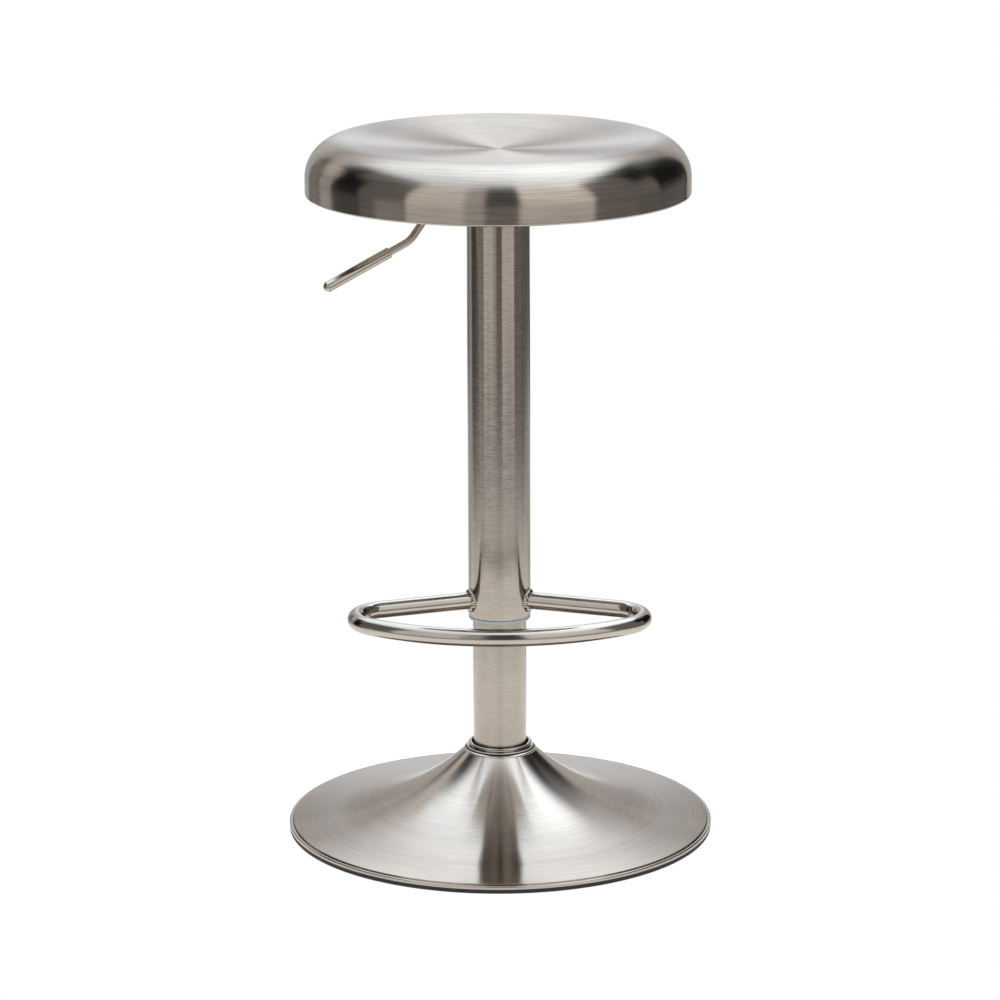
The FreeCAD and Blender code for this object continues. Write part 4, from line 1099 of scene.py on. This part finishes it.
@dataclass
class Footrest:
    """Loop of round tube from the column out, round the front and back, with its two weld beads."""

    height: float = 222.0
    radius: float = 8.0
    half_width: float = 132.0
    reach: float = 136.0
    bend: float = 33.0
    sweep: float = 20.0
    cover_radius: float = 29.0
    root: float = 27.8
    bead_radius: float = 3.0
    bead_ripple: float = 0.12
    bead_ripples: int = 11
    tube_sides: int = 40
    bead_sides: int = 14
    bead_points: int = 208

    def half_path(self) -> list[Vector]:
        """Return the right half's centre line from the front middle to the column, seen from above."""
        sine = math.sin(math.radians(self.sweep))
        cosine = math.cos(math.radians(self.sweep))
        bend_out = self.half_width - self.bend
        bend_fore = -(sine * bend_out + self.bend) / cosine
        front = self.reach - self.bend
        centre = (front**2 - bend_fore**2 - bend_out**2) / (-2 * (bend_fore + front))
        front_radius = self.reach + centre
        share = front_radius / (front_radius - self.bend)
        arm = (self.bend * sine + bend_out) / cosine
        return trace(
            [
                (0.0, -self.reach),
                (bend_out * share, centre + (bend_fore - centre) * share, front_radius, 1),
                (arm * cosine, -arm * sine, self.bend, 1),
                (self.root * cosine, -self.root * sine),
            ],
            closed=False,
        )

    def path(self) -> list[Vector]:
        """Return the whole centre line, from the left arm's root to the right one's."""
        right = [Vector((point.x, point.y, self.height)) for point in self.half_path()]
        left = [Vector((-point.x, point.y, point.z)) for point in reversed(right[1:])]
        return left + right

    def bead_path(self, bearing: float) -> list[Vector]:
        """Return the line where an arm's surface meets the cover tube.

        Args:
            bearing: The arm's direction in degrees from +X.

        Returns:
            A closed line of points.
        """
        out = Vector((math.cos(math.radians(bearing)), math.sin(math.radians(bearing)), 0.0))
        side = Vector((-out.y, out.x, 0.0))
        points = []
        for step in range(self.bead_points):
            angle = math.tau * step / self.bead_points
            across = self.radius * math.cos(angle)
            reach = math.sqrt(self.cover_radius**2 - across**2)
            up = self.height + self.radius * math.sin(angle)
            points.append(out * reach + side * across + Vector((0.0, 0.0, up)))
        return points

    def build(self, shop: Workshop) -> None:
        """Run the tube and lay the beads."""
        path = [self.path()]
        ring = shop.run_tube("footrest_ring_polished", path, self.radius, self.tube_sides, Slot.POLISHED)
        shop.fit(ring, Body.SEAT_COLUMN, Slot.POLISHED, "footrest_ring")
        beads = shop.run_tube(
            "footrest_weld_beads",
            [self.bead_path(bearing) for bearing in (180 + self.sweep, 360 - self.sweep)],
            self.bead_radius,
            self.bead_sides,
            Slot.POLISHED,
            self.bead_ripple,
            self.bead_ripples,
        )
        shop.fit(beads, Body.SEAT_COLUMN, Slot.POLISHED, "footrest_welds")


@dataclass
class Base:
    """Spun bell with its hooked rim, the polished ring at its neck and the rubber ring it stands on."""

    radius: float = 200.2
    neck_radius: float = 33.0
    neck_height: float = 76.0
    rim_ledge: float = 4.2
    rim_step: float = 0.9
    cone_width: float = 37.1
    edge_slope: float = 8.0
    sheet: float = 1.2
    step: float = 0.3
    lip_height: float = 7.1
    lip_rounding: float = 1.4
    lip_groove: float = 0.6
    lip_crown: float = 5.5
    neck_bevel: float = 1.2
    neck_bevel_slope: float = 26.0
    neck_bevel_drop: float = 1.25
    ledge_height: float = 3.9
    plate_radius: float = 185.955
    plate_height: float = 3.0
    ring_inset: float = 0.2
    ring_width: float = 10.0
    ring_rounding: float = 0.8
    ring_top_gap: float = 0.3
    trim_bore: float = 26.6
    trim_wall: float = 3.6
    trim_brim: float = 1.4
    trim_setback: float = 0.3
    trim_drop: float = 6.0
    trim_gap: float = 1.3
    trim_lip_height: float = 1.3
    trim_height: float = 5.0
    trim_bead: float = 1.1
    trim_bead_step: float = 0.2
    trim_bead_bulge: float = 1.1
    trim_groove: float = 1.5
    trim_chamfer: float = 0.7
    bell_ease: float = 0.3
    ring_ease: float = 0.25
    trim_ease: float = 0.2
    bell_segments: int = 288
    ring_segments: int = 256
    trim_segments: int = 128

    def bell(self) -> list[Vector]:
        """Return the bell's section from the neck down to the lip and back inside."""
        slope = math.radians(self.edge_slope)
        edge = self.radius - self.rim_ledge
        edge_height = self.lip_height + self.rim_step
        start = edge - self.cone_width
        top = edge_height + self.cone_width * math.tan(slope)
        across = start - self.neck_radius
        rise = self.neck_height - top
        bend = (across**2 + rise**2) / (2 * (rise * math.cos(slope) - across * math.sin(slope)))
        centre = Vector((start + bend * math.sin(slope), top + bend * math.cos(slope)))
        neck = Vector((self.neck_radius, self.neck_height))
        neck_under = neck + (neck - centre) / bend * self.sheet
        step_out = edge + self.step
        bevel = self.neck_bevel
        step_in = step_out - self.sheet
        cone_in = start - self.sheet * math.sin(slope)
        under = self.sheet / math.cos(slope)
        return trace(
            [
                (neck.x - bevel / 2, neck.y + bevel * math.tan(math.radians(self.neck_bevel_slope))),
                (neck.x + bevel / 2, neck.y),
                (neck.x + bevel, neck.y - self.neck_bevel_drop * bevel, bevel, -1),
                (start, top, bend, 1),
                (edge, edge_height),
                (step_out, self.lip_height - self.lip_groove),
                (self.radius - self.lip_rounding, self.lip_height, self.lip_crown, -1),
                (self.radius, self.lip_height - self.lip_rounding, self.lip_rounding, -1),
                (self.radius, self.ledge_height),
                (self.radius - self.sheet, self.ledge_height),
                (self.radius - self.sheet, self.lip_height - self.sheet),
                (step_in, self.lip_height - self.sheet),
                (step_in, top - under - (step_in - start) * math.tan(slope)),
                (cone_in, top - under - (cone_in - start) * math.tan(slope)),
                (neck_under.x, neck_under.y, bend + self.sheet, -1),
            ],
            ease=self.bell_ease,
        )

    def floor_ring(self) -> list[Vector]:
        """Return the rubber ring's section."""
        outer = self.radius - self.ring_inset
        upstand = self.radius - self.sheet
        top = self.lip_height - self.sheet - self.ring_top_gap
        return trace(
            [
                (self.plate_radius - self.ring_width, 0.0),
                (outer - self.ring_rounding, 0.0),
                (outer, self.ring_rounding, self.ring_rounding, 1),
                (outer, self.ledge_height),
                (upstand, self.ledge_height),
                (upstand, top),
                (self.plate_radius, top),
                (self.plate_radius, self.plate_height),
                (self.plate_radius - self.ring_width, self.plate_height),
            ],
            ease=self.ring_ease,
        )

    def trim_ring(self) -> list[Vector]:
        """Return the neck ring's section: a collar in the neck, a lip over it and a bead."""
        collar = self.trim_bore + self.trim_wall
        lip = collar + self.trim_brim
        bead = collar - self.trim_setback
        groove = bead - self.trim_groove
        foot = self.neck_height - self.trim_drop
        lip_bottom = self.neck_height + self.trim_gap
        lip_top = lip_bottom + self.trim_lip_height
        top = lip_bottom + self.trim_height
        edge = self.trim_lip_height / 3
        bulge = self.trim_bead * self.trim_bead_bulge
        bead_in = groove + self.trim_bead_step
        return trace(
            [
                (self.trim_bore, foot),
                (collar, foot),
                (collar, lip_bottom),
                (lip - edge, lip_bottom),
                (lip, lip_bottom + edge, edge, 1),
                (lip, lip_top - edge),
                (lip - edge, lip_top, edge, 1),
                (groove, lip_top),
                (groove, top - 2 * self.trim_bead),
                (bead_in, top - 2 * self.trim_bead),
                (bead, top - self.trim_bead, bulge, 1),
                (bead_in, top, bulge, 1),
                (self.trim_bore + self.trim_chamfer, top),
                (self.trim_bore, top - self.trim_chamfer),
            ],
            ease=self.trim_ease,
        )

    def build(self, shop: Workshop) -> None:
        """Make the three turned pieces."""
        body = Body.BASE
        bell, ring, trim = self.bell(), self.floor_ring(), self.trim_ring()
        shop.turn("base_bell_spun", bell, self.bell_segments, body, Slot.BRUSHED, "base_bell")
        shop.turn("floor_ring_moulded", ring, self.ring_segments, body, Slot.RUBBER, "floor_ring")
        shop.turn("neck_trim_ring_polished", trim, self.trim_segments, body, Slot.POLISHED, "neck_trim_ring")


@dataclass
class Lever:
    """Bent release rod with a slim sleeve and bullet nose."""

    bearing: float = 200.0
    start: float = 27.0
    pivot_height: float = 616.0
    rod_radius: float = 3.5
    knee_reach: float = 49.0
    knee_bend: float = 8.0
    elbow_reach: float = 85.4
    elbow_bend: float = 25.0
    drop: float = 53.2
    slope: float = 25.2
    grip_radius: float = 5.0
    grip_start: float = 22.0
    grip_length: float = 69.3
    grip_ogive: float = 3.8
    grip_nose: float = 3.5
    grip_tip: float = 6.8
    ogive_bulge: float = 1.2
    nose_bulge: float = 1.25
    grip_ease: float = 0.5
    rod_sides: int = 32
    grip_segments: int = 64

    def elbow_height(self) -> float:
        """Return the height where the steep run and the grip's run meet."""
        return self.pivot_height - (self.elbow_reach - self.knee_reach) * math.tan(math.radians(self.drop))

    def rod_path(self) -> list[Vector]:
        """Return the rod's centre line in space."""
        drop = math.radians(self.drop)
        slope = math.radians(self.slope)
        elbow = self.elbow_height()
        knee_run = self.knee_bend * math.tan(drop / 2)
        elbow_run = self.elbow_bend * math.tan((drop - slope) / 2)
        out = self.grip_start + self.grip_length - self.grip_tip
        flat = trace(
            [
                (self.start, self.pivot_height),
                (self.knee_reach - knee_run, self.pivot_height),
                (
                    self.knee_reach + knee_run * math.cos(drop),
                    self.pivot_height - knee_run * math.sin(drop),
                    self.knee_bend,
                    -1,
                ),
                (self.elbow_reach - elbow_run * math.cos(drop), elbow + elbow_run * math.sin(drop)),
                (
                    self.elbow_reach + elbow_run * math.cos(slope),
                    elbow - elbow_run * math.sin(slope),
                    self.elbow_bend,
                    1,
                ),
                (self.elbow_reach + out * math.cos(slope), elbow - out * math.sin(slope)),
            ],
            closed=False,
        )
        turn = math.radians(self.bearing)
        return [Vector((point.x * math.cos(turn), point.x * math.sin(turn), point.y)) for point in flat]

    def grip(self) -> bpy.types.Object:
        """Make the sleeve along its own axis, then set it on the rod."""
        end = self.grip_start + self.grip_length
        hollow = end - self.grip_tip
        section = trace(
            [
                (self.rod_radius, self.grip_start),
                (self.rod_radius, hollow),
                (0.0, hollow),
                (0.0, end),
                (self.grip_nose, end - self.grip_nose / 2, self.grip_nose * self.nose_bulge, -1),
                (self.grip_radius, end - self.grip_ogive, self.grip_ogive * self.ogive_bulge, -1),
                (self.grip_radius, self.grip_start),
            ],
            ease=self.grip_ease,
        )
        sleeve = spin("lever_grip_turned", section, self.grip_segments)
        turn = math.radians(self.bearing)
        out = self.elbow_reach
        place = Vector((out * math.cos(turn), out * math.sin(turn), self.elbow_height()))
        lay = Matrix.Rotation(turn, 4, "Z") @ Matrix.Rotation(math.radians(90 + self.slope), 4, "Y")
        sleeve.data.transform(Matrix.Translation(place * MM) @ lay)
        return sleeve

    def build(self, shop: Workshop) -> None:
        """Bend the rod and set the grip on it."""
        path = [self.rod_path()]
        rod = shop.run_tube("lever_rod_bent", path, self.rod_radius, self.rod_sides, Slot.POLISHED)
        shop.fit(rod, Body.LEVER, Slot.POLISHED, "lever_rod")
        shop.fit(self.grip(), Body.LEVER, Slot.POLISHED, "lever_grip")


class InnerWorks:
    """The CAD nodes that keep their own shape and only take a finish."""

    @staticmethod
    def slots() -> dict[str, Slot]:
        """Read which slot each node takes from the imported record."""
        known = {slot.value for slot in Slot}
        found = {}
        for part in frame["record"]["subparts"]:
            if part.get("material_slot") in known:
                found[part["node"]] = Slot(part["material_slot"])
        return found

    def build(self, shop: Workshop) -> None:
        """Dress every node that still shows."""
        slots = self.slots()
        for name, node in frame["nodes"].items():
            slot = slots.get(name, Slot.ZINC)
            shown = Slot.ZINC if slot is Slot.BRUSHED else slot
            node.data.materials.clear()
            node.data.materials.append(shop.materials[shown])
            LOG.info("%s: kept, %s", name, slot.value)


# Studio


BLACK = colour(0.0, 0.0, 0.0)
NEUTRAL = colour(1.0, 1.0, 1.0)
COOL = colour(0.87, 1.0, 1.16)


@dataclass(frozen=True)
class Card:
    """A bright or dark area of the studio round the stool, by bearing and rise in degrees.

    Bearing 0 is towards the sitter's front, and it grows to the right as seen from there.
    """

    name: str
    bearing: float
    spread: float
    rise: tuple[float, float]
    level: float
    soft: float = 4.0
    soft_rise: float = 8.0
    tint: tuple[float, ...] = NEUTRAL


@dataclass(frozen=True)
class Panel:
    """A soft lamp: a flat rectangle that faces down, or tipped up to face the stool."""

    name: str
    place: tuple[float, float, float]
    size: tuple[float, float]
    level: float
    tip: float


@dataclass
class Studio:
    """White sweep, soft lamps and the camera at the photograph's angle."""

    camera_place: tuple[float, float, float] = (0.00072, -3.600, 1.2313)
    camera_pitch: float = 14.26
    camera_roll: float = -0.19
    focal_widths: float = 3.9844
    sensor: float = 36.0
    view_depth: float = 60.0
    floor_sides: tuple[float, float, float, float] = (-1.3, 1.5, -1.7, 2.6)
    floor_drop: float = 0.0003
    floor_tint: tuple[float, ...] = colour(0.82, 0.80, 0.77)
    # Painted shade on the floor: the colour it darkens to in front of the stool, behind it and far off.
    floor_painted_shade_tint: tuple[float, ...] = colour(0.12, 0.12, 0.12)
    floor_behind: Ramp = Ramp(0.34, 0.62)
    floor_front_painted_shade: Ramp = Ramp(0.75, 1.4)
    floor_behind_painted_shade: Ramp = Ramp(0.8, 1.5, 0.42, 0.28)
    floor_far_painted_shade: Ramp = Ramp(1.3, 1.9)
    # Painted pool of light: the floor glows brightest near the stool and less further out.
    floor_painted_glow: Ramp = Ramp(0.3, 1.2, 0.68, 0.42)
    floor_white: Ramp = Ramp(0.22, 0.42)
    room_level: float = 0.01
    cards: tuple[Card, ...] = (
        Card("back", 180.0, 29.0, (-13.0, 60.0), 0.45, 4.0, 4.0),
        Card("back middle", 180.0, 6.0, (-2.0, 27.0), 0.92, 7.0, 10.0, colour(0.94, 1.0, 1.11)),
        Card("front slot", 0.0, 14.0, (-60.0, 54.0), 0.07),
        Card("front slot low", 0.0, 14.0, (-60.0, -3.0), 0.20),
        Card("front left", -37.0, 19.5, (-60.0, 62.0), 0.70),
        Card("front left low", -37.0, 19.5, (-60.0, -4.0), 0.56, 4.0, 12.0),
        Card("front left inner", -14.0, 6.0, (-60.0, 62.0), 0.41),
        Card("front right", 36.5, 23.5, (-60.0, 62.0), 0.71),
        Card("front right low", 36.5, 23.5, (-60.0, -4.0), 0.57, 4.0, 12.0),
        Card("front right high", 36.0, 22.0, (14.0, 62.0), 0.86, 4.0, 14.0),
        Card("right edge", 62.0, 2.0, (0.0, 44.0), 0.42, 3.0),
        Card("left near", -74.0, 17.0, (-60.0, 60.0), 0.14),
        Card("left near low", -68.0, 10.0, (-60.0, -4.0), 0.30),
        Card("right near", 77.0, 18.0, (-60.0, 60.0), 0.16),
        Card("right strip", 102.0, 8.0, (-60.0, 24.0), 0.18),
        Card("right low", 120.0, 28.0, (-60.0, -1.0), 0.13),
        Card("left low", -104.0, 13.0, (-60.0, -1.0), 0.08),
        Card("left strip", -125.0, 8.0, (-6.0, 27.0), 0.38),
        Card("left strip low", -125.0, 8.0, (-60.0, -6.0), 0.44),
        Card("left far", -142.0, 9.0, (-60.0, 18.0), 0.22),
        Card("left high", -143.0, 9.0, (22.0, 60.0), 0.46),
        Card("left strip high", -132.0, 8.0, (15.0, 30.0), 0.60, 6.0),
        Card("left near high", -102.0, 9.0, (34.0, 60.0), 0.20, 6.0),
    )
    panels: tuple[Panel, ...] = (
        Panel("overhead", (0.1, 0.3, 2.85), (1.2, 1.6), 0.10, 0.0),
        Panel("back middle", (0.0, 2.45, 1.26), (2.10, 0.78), 0.10, 90.0),
    )
    overhead_level: float = 2.0
    overhead_lean: float = 0.22
    overhead_sides: tuple[float, float, float, float] = (-0.72, 0.74, -0.70, 0.98)
    overhead_soft: float = 0.12
    overhead_least_up: float = 0.02
    overhead_fade: tuple[Ramp, Ramp] = (Ramp(-0.6, 0.3, 0.72, 1.0), Ramp(-0.6, 0.4, 0.60, 1.0))
    second_mirror: Ramp = Ramp(2.2, 2.8, 1.0, 0.40)
    glow_level: float = 1.40
    glow_aside: tuple[Ramp, Ramp] = (Ramp(0.1, 0.62, 1.0, 0.2), Ramp(0.7, 1.2, 1.0, 0.0))
    glow_along: tuple[Ramp, Ramp] = (Ramp(1.3, 2.1, 1.0, 0.0), Ramp(0.6, 0.9))
    glow_rise: Ramp = Ramp(0.1, 0.3)

    def world(self) -> None:
        """Build the world: white to the camera, and cards round a dark room to everything else."""
        world = bpy.data.worlds.new("studio")
        bpy.context.scene.world = world
        world.use_nodes = True
        work = ShaderTree(world.node_tree)
        world.node_tree.nodes.clear()
        way = work.add("ShaderNodeTexCoord").outputs["Generated"]
        right, away, up = work.add("ShaderNodeSeparateXYZ", Vector=way).outputs
        rise = work.maths("DEGREES", work.maths("ARCSINE", up))
        around = work.add("ShaderNodeCombineXYZ", X=right, Y=away, Z=0.0).outputs[0]
        heading = work.vector("NORMALIZE", around).outputs[0]
        shown = shaded(NEUTRAL, self.room_level)
        for card in self.cards:
            turn = math.radians(card.bearing)
            near = work.vector("DOT_PRODUCT", heading, (math.sin(turn), -math.cos(turn), 0.0))
            off = work.maths("DEGREES", work.maths("ARCCOSINE", near.outputs["Value"]))
            low, high = card.rise
            mask = work.product(
                work.edge(off, card.spread, card.soft / 2, False),
                work.edge(rise, low, card.soft_rise / 2, True),
                work.edge(rise, high, card.soft_rise / 2, False),
            )
            shown = work.mix(mask, shown, shaded(card.tint, card.level))
        shown = self.overhead(work, shown, right, away, up)
        path = work.add("ShaderNodeLightPath")
        once = work.span(path.outputs["Ray Depth"], self.second_mirror)
        cards = work.add("ShaderNodeBackground", Color=shown, Strength=once)
        plain = work.add("ShaderNodeBackground", Color=NEUTRAL, Strength=1.0)
        work.add("ShaderNodeOutputWorld", Surface=work.blend(path.outputs["Is Camera Ray"], cards, plain))

    def overhead(self, work: ShaderTree, shown: object, right: object, away: object, up: object) -> object:
        """Hang a large diffuser over the stool and let its light run down the sweep behind.

        Args:
            work: The world's tree.
            shown: The studio's colour without it.
            right: How far a direction points to the right.
            away: How far it points away from the camera.
            up: How far it points up.

        Returns:
            The studio's colour with it.
        """
        height = work.maths("MAXIMUM", up, self.overhead_least_up)
        across = work.maths("DIVIDE", right, height)
        along = work.maths("DIVIDE", away, height)
        leant = work.maths("MULTIPLY_ADD", along, self.overhead_lean, across)
        left_edge, right_edge, near_edge, far_edge = self.overhead_sides
        soft = self.overhead_soft
        mask = work.product(
            work.edge(across, left_edge, soft, True),
            work.edge(leant, right_edge, soft, False),
            work.edge(along, near_edge, soft, True),
            work.edge(along, far_edge, soft, False),
        )
        fade_across, fade_along = self.overhead_fade
        fade = work.product(work.span(across, fade_across), work.span(along, fade_along))
        level = work.product(fade, self.overhead_level)
        diffuser = work.vector("SCALE", COOL[:3], Scale=level).outputs[0]
        aside = work.maths("ABSOLUTE", across)
        parts = [work.span(aside, ramp) for ramp in self.glow_aside]
        parts += [work.span(along, ramp) for ramp in self.glow_along]
        glow = work.mix(work.product(*parts, work.span(up, self.glow_rise)), BLACK, COOL)
        lit = work.vector("MULTIPLY_ADD", glow, (self.glow_level,) * 3, shown).outputs[0]
        return work.mix(mask, lit, diffuser)

    def floor(self) -> None:
        """Lay the pale floor."""
        left, right, near, back = self.floor_sides
        mesh = bpy.data.meshes.new("floor")
        corners = ((left, near), (right, near), (right, back), (left, back))
        mesh.from_pydata([(x, y, -self.floor_drop) for x, y in corners], [], [(0, 1, 2, 3)])
        mesh.materials.append(self.floor_finish())
        new_piece("floor", mesh)

    def floor_finish(self) -> bpy.types.Material:
        """Build the floor's finish.

        It is white to the camera except close to the stool. Mirrors see a painted pool of light near the
        stool, where it glows, and painted shade in front and behind, where the sweep ends and its colour is
        darkened.

        Returns:
            The material.
        """
        material = bpy.data.materials.new("pale_floor")
        material.use_nodes = True
        work = ShaderTree(material.node_tree)
        material.node_tree.nodes.clear()
        place = work.add("ShaderNodeTexCoord").outputs["Object"]
        away = work.vector("LENGTH", place).outputs["Value"]
        depth = work.add("ShaderNodeSeparateXYZ", Vector=place).outputs[1]
        # Painted shade: the floor's colour darkens in front of the stool, behind it and far off.
        behind = work.span(depth, self.floor_behind)
        beside = work.maths("SUBTRACT", 1.0, behind)
        front = work.product(work.span(away, self.floor_front_painted_shade), beside)
        shade = work.product(behind, work.span(depth, self.floor_behind_painted_shade))
        far_dark = work.span(depth, self.floor_far_painted_shade)
        dark = work.maths("MAXIMUM", work.maths("MAXIMUM", front, shade), far_dark)
        matt = work.add("ShaderNodeBsdfDiffuse", Color=work.mix(dark, self.floor_tint, self.floor_painted_shade_tint))
        # Painted light: the floor glows near the stool as a painted pool of light, and less where painted
        # shade darkens it.
        level = work.product(work.span(away, self.floor_painted_glow), work.maths("SUBTRACT", 1.0, dark))
        glow = work.add("ShaderNodeEmission", Color=NEUTRAL, Strength=level)
        lit = work.ordered("ShaderNodeAddShader", {}, matt.outputs[0], glow.outputs[0])
        white = work.add("ShaderNodeEmission", Color=NEUTRAL, Strength=1.0)
        camera_ray = work.add("ShaderNodeLightPath").outputs["Is Camera Ray"]
        seen = work.product(camera_ray, work.span(away, self.floor_white))
        work.add("ShaderNodeOutputMaterial", Surface=work.blend(seen, lit, white))
        return material

    def lamps(self) -> None:
        """Hang the panels. The camera doesn't see them, but metal does."""
        for panel in self.panels:
            data = bpy.data.lights.new(panel.name, "AREA")
            data.shape = "RECTANGLE"
            data.size, data.size_y = panel.size
            data.energy = panel.level * math.pi * panel.size[0] * panel.size[1]
            data.color = COOL[:3]
            lamp = bpy.data.objects.new(panel.name, data)
            lamp.location = panel.place
            lamp.rotation_euler = (math.radians(-panel.tip), 0.0, 0.0)
            lamp.visible_camera = False
            bpy.context.scene.collection.objects.link(lamp)

    def camera(self) -> None:
        """Set the camera."""
        data = bpy.data.cameras.new("camera")
        data.sensor_width = self.sensor
        data.lens = self.focal_widths * self.sensor
        data.clip_end = self.view_depth
        camera = bpy.data.objects.new("camera", data)
        camera.location = self.camera_place
        tilt = Matrix.Rotation(math.radians(90 - self.camera_pitch), 4, "X")
        roll = Matrix.Rotation(math.radians(self.camera_roll), 4, "Z")
        camera.rotation_euler = (tilt @ roll).to_euler()
        bpy.context.scene.collection.objects.link(camera)
        bpy.context.scene.camera = camera

    def build(self) -> None:
        """Set up the whole studio."""
        bpy.context.scene.view_settings.view_transform = "Standard"
        self.world()
        self.floor()
        self.lamps()
        self.camera()


def main() -> None:
    """Build the stool's sub-assemblies in order, then the studio."""
    logging.basicConfig(level=logging.INFO, format="%(name)s: %(message)s")
    shop = Workshop()
    InnerWorks().build(shop)
    for part in (Base(), Column(), Footrest(), Seat(), SeatFixings(), Lever()):
        part.build(shop)
    Studio().build()


if __name__ == "__main__":
    main()
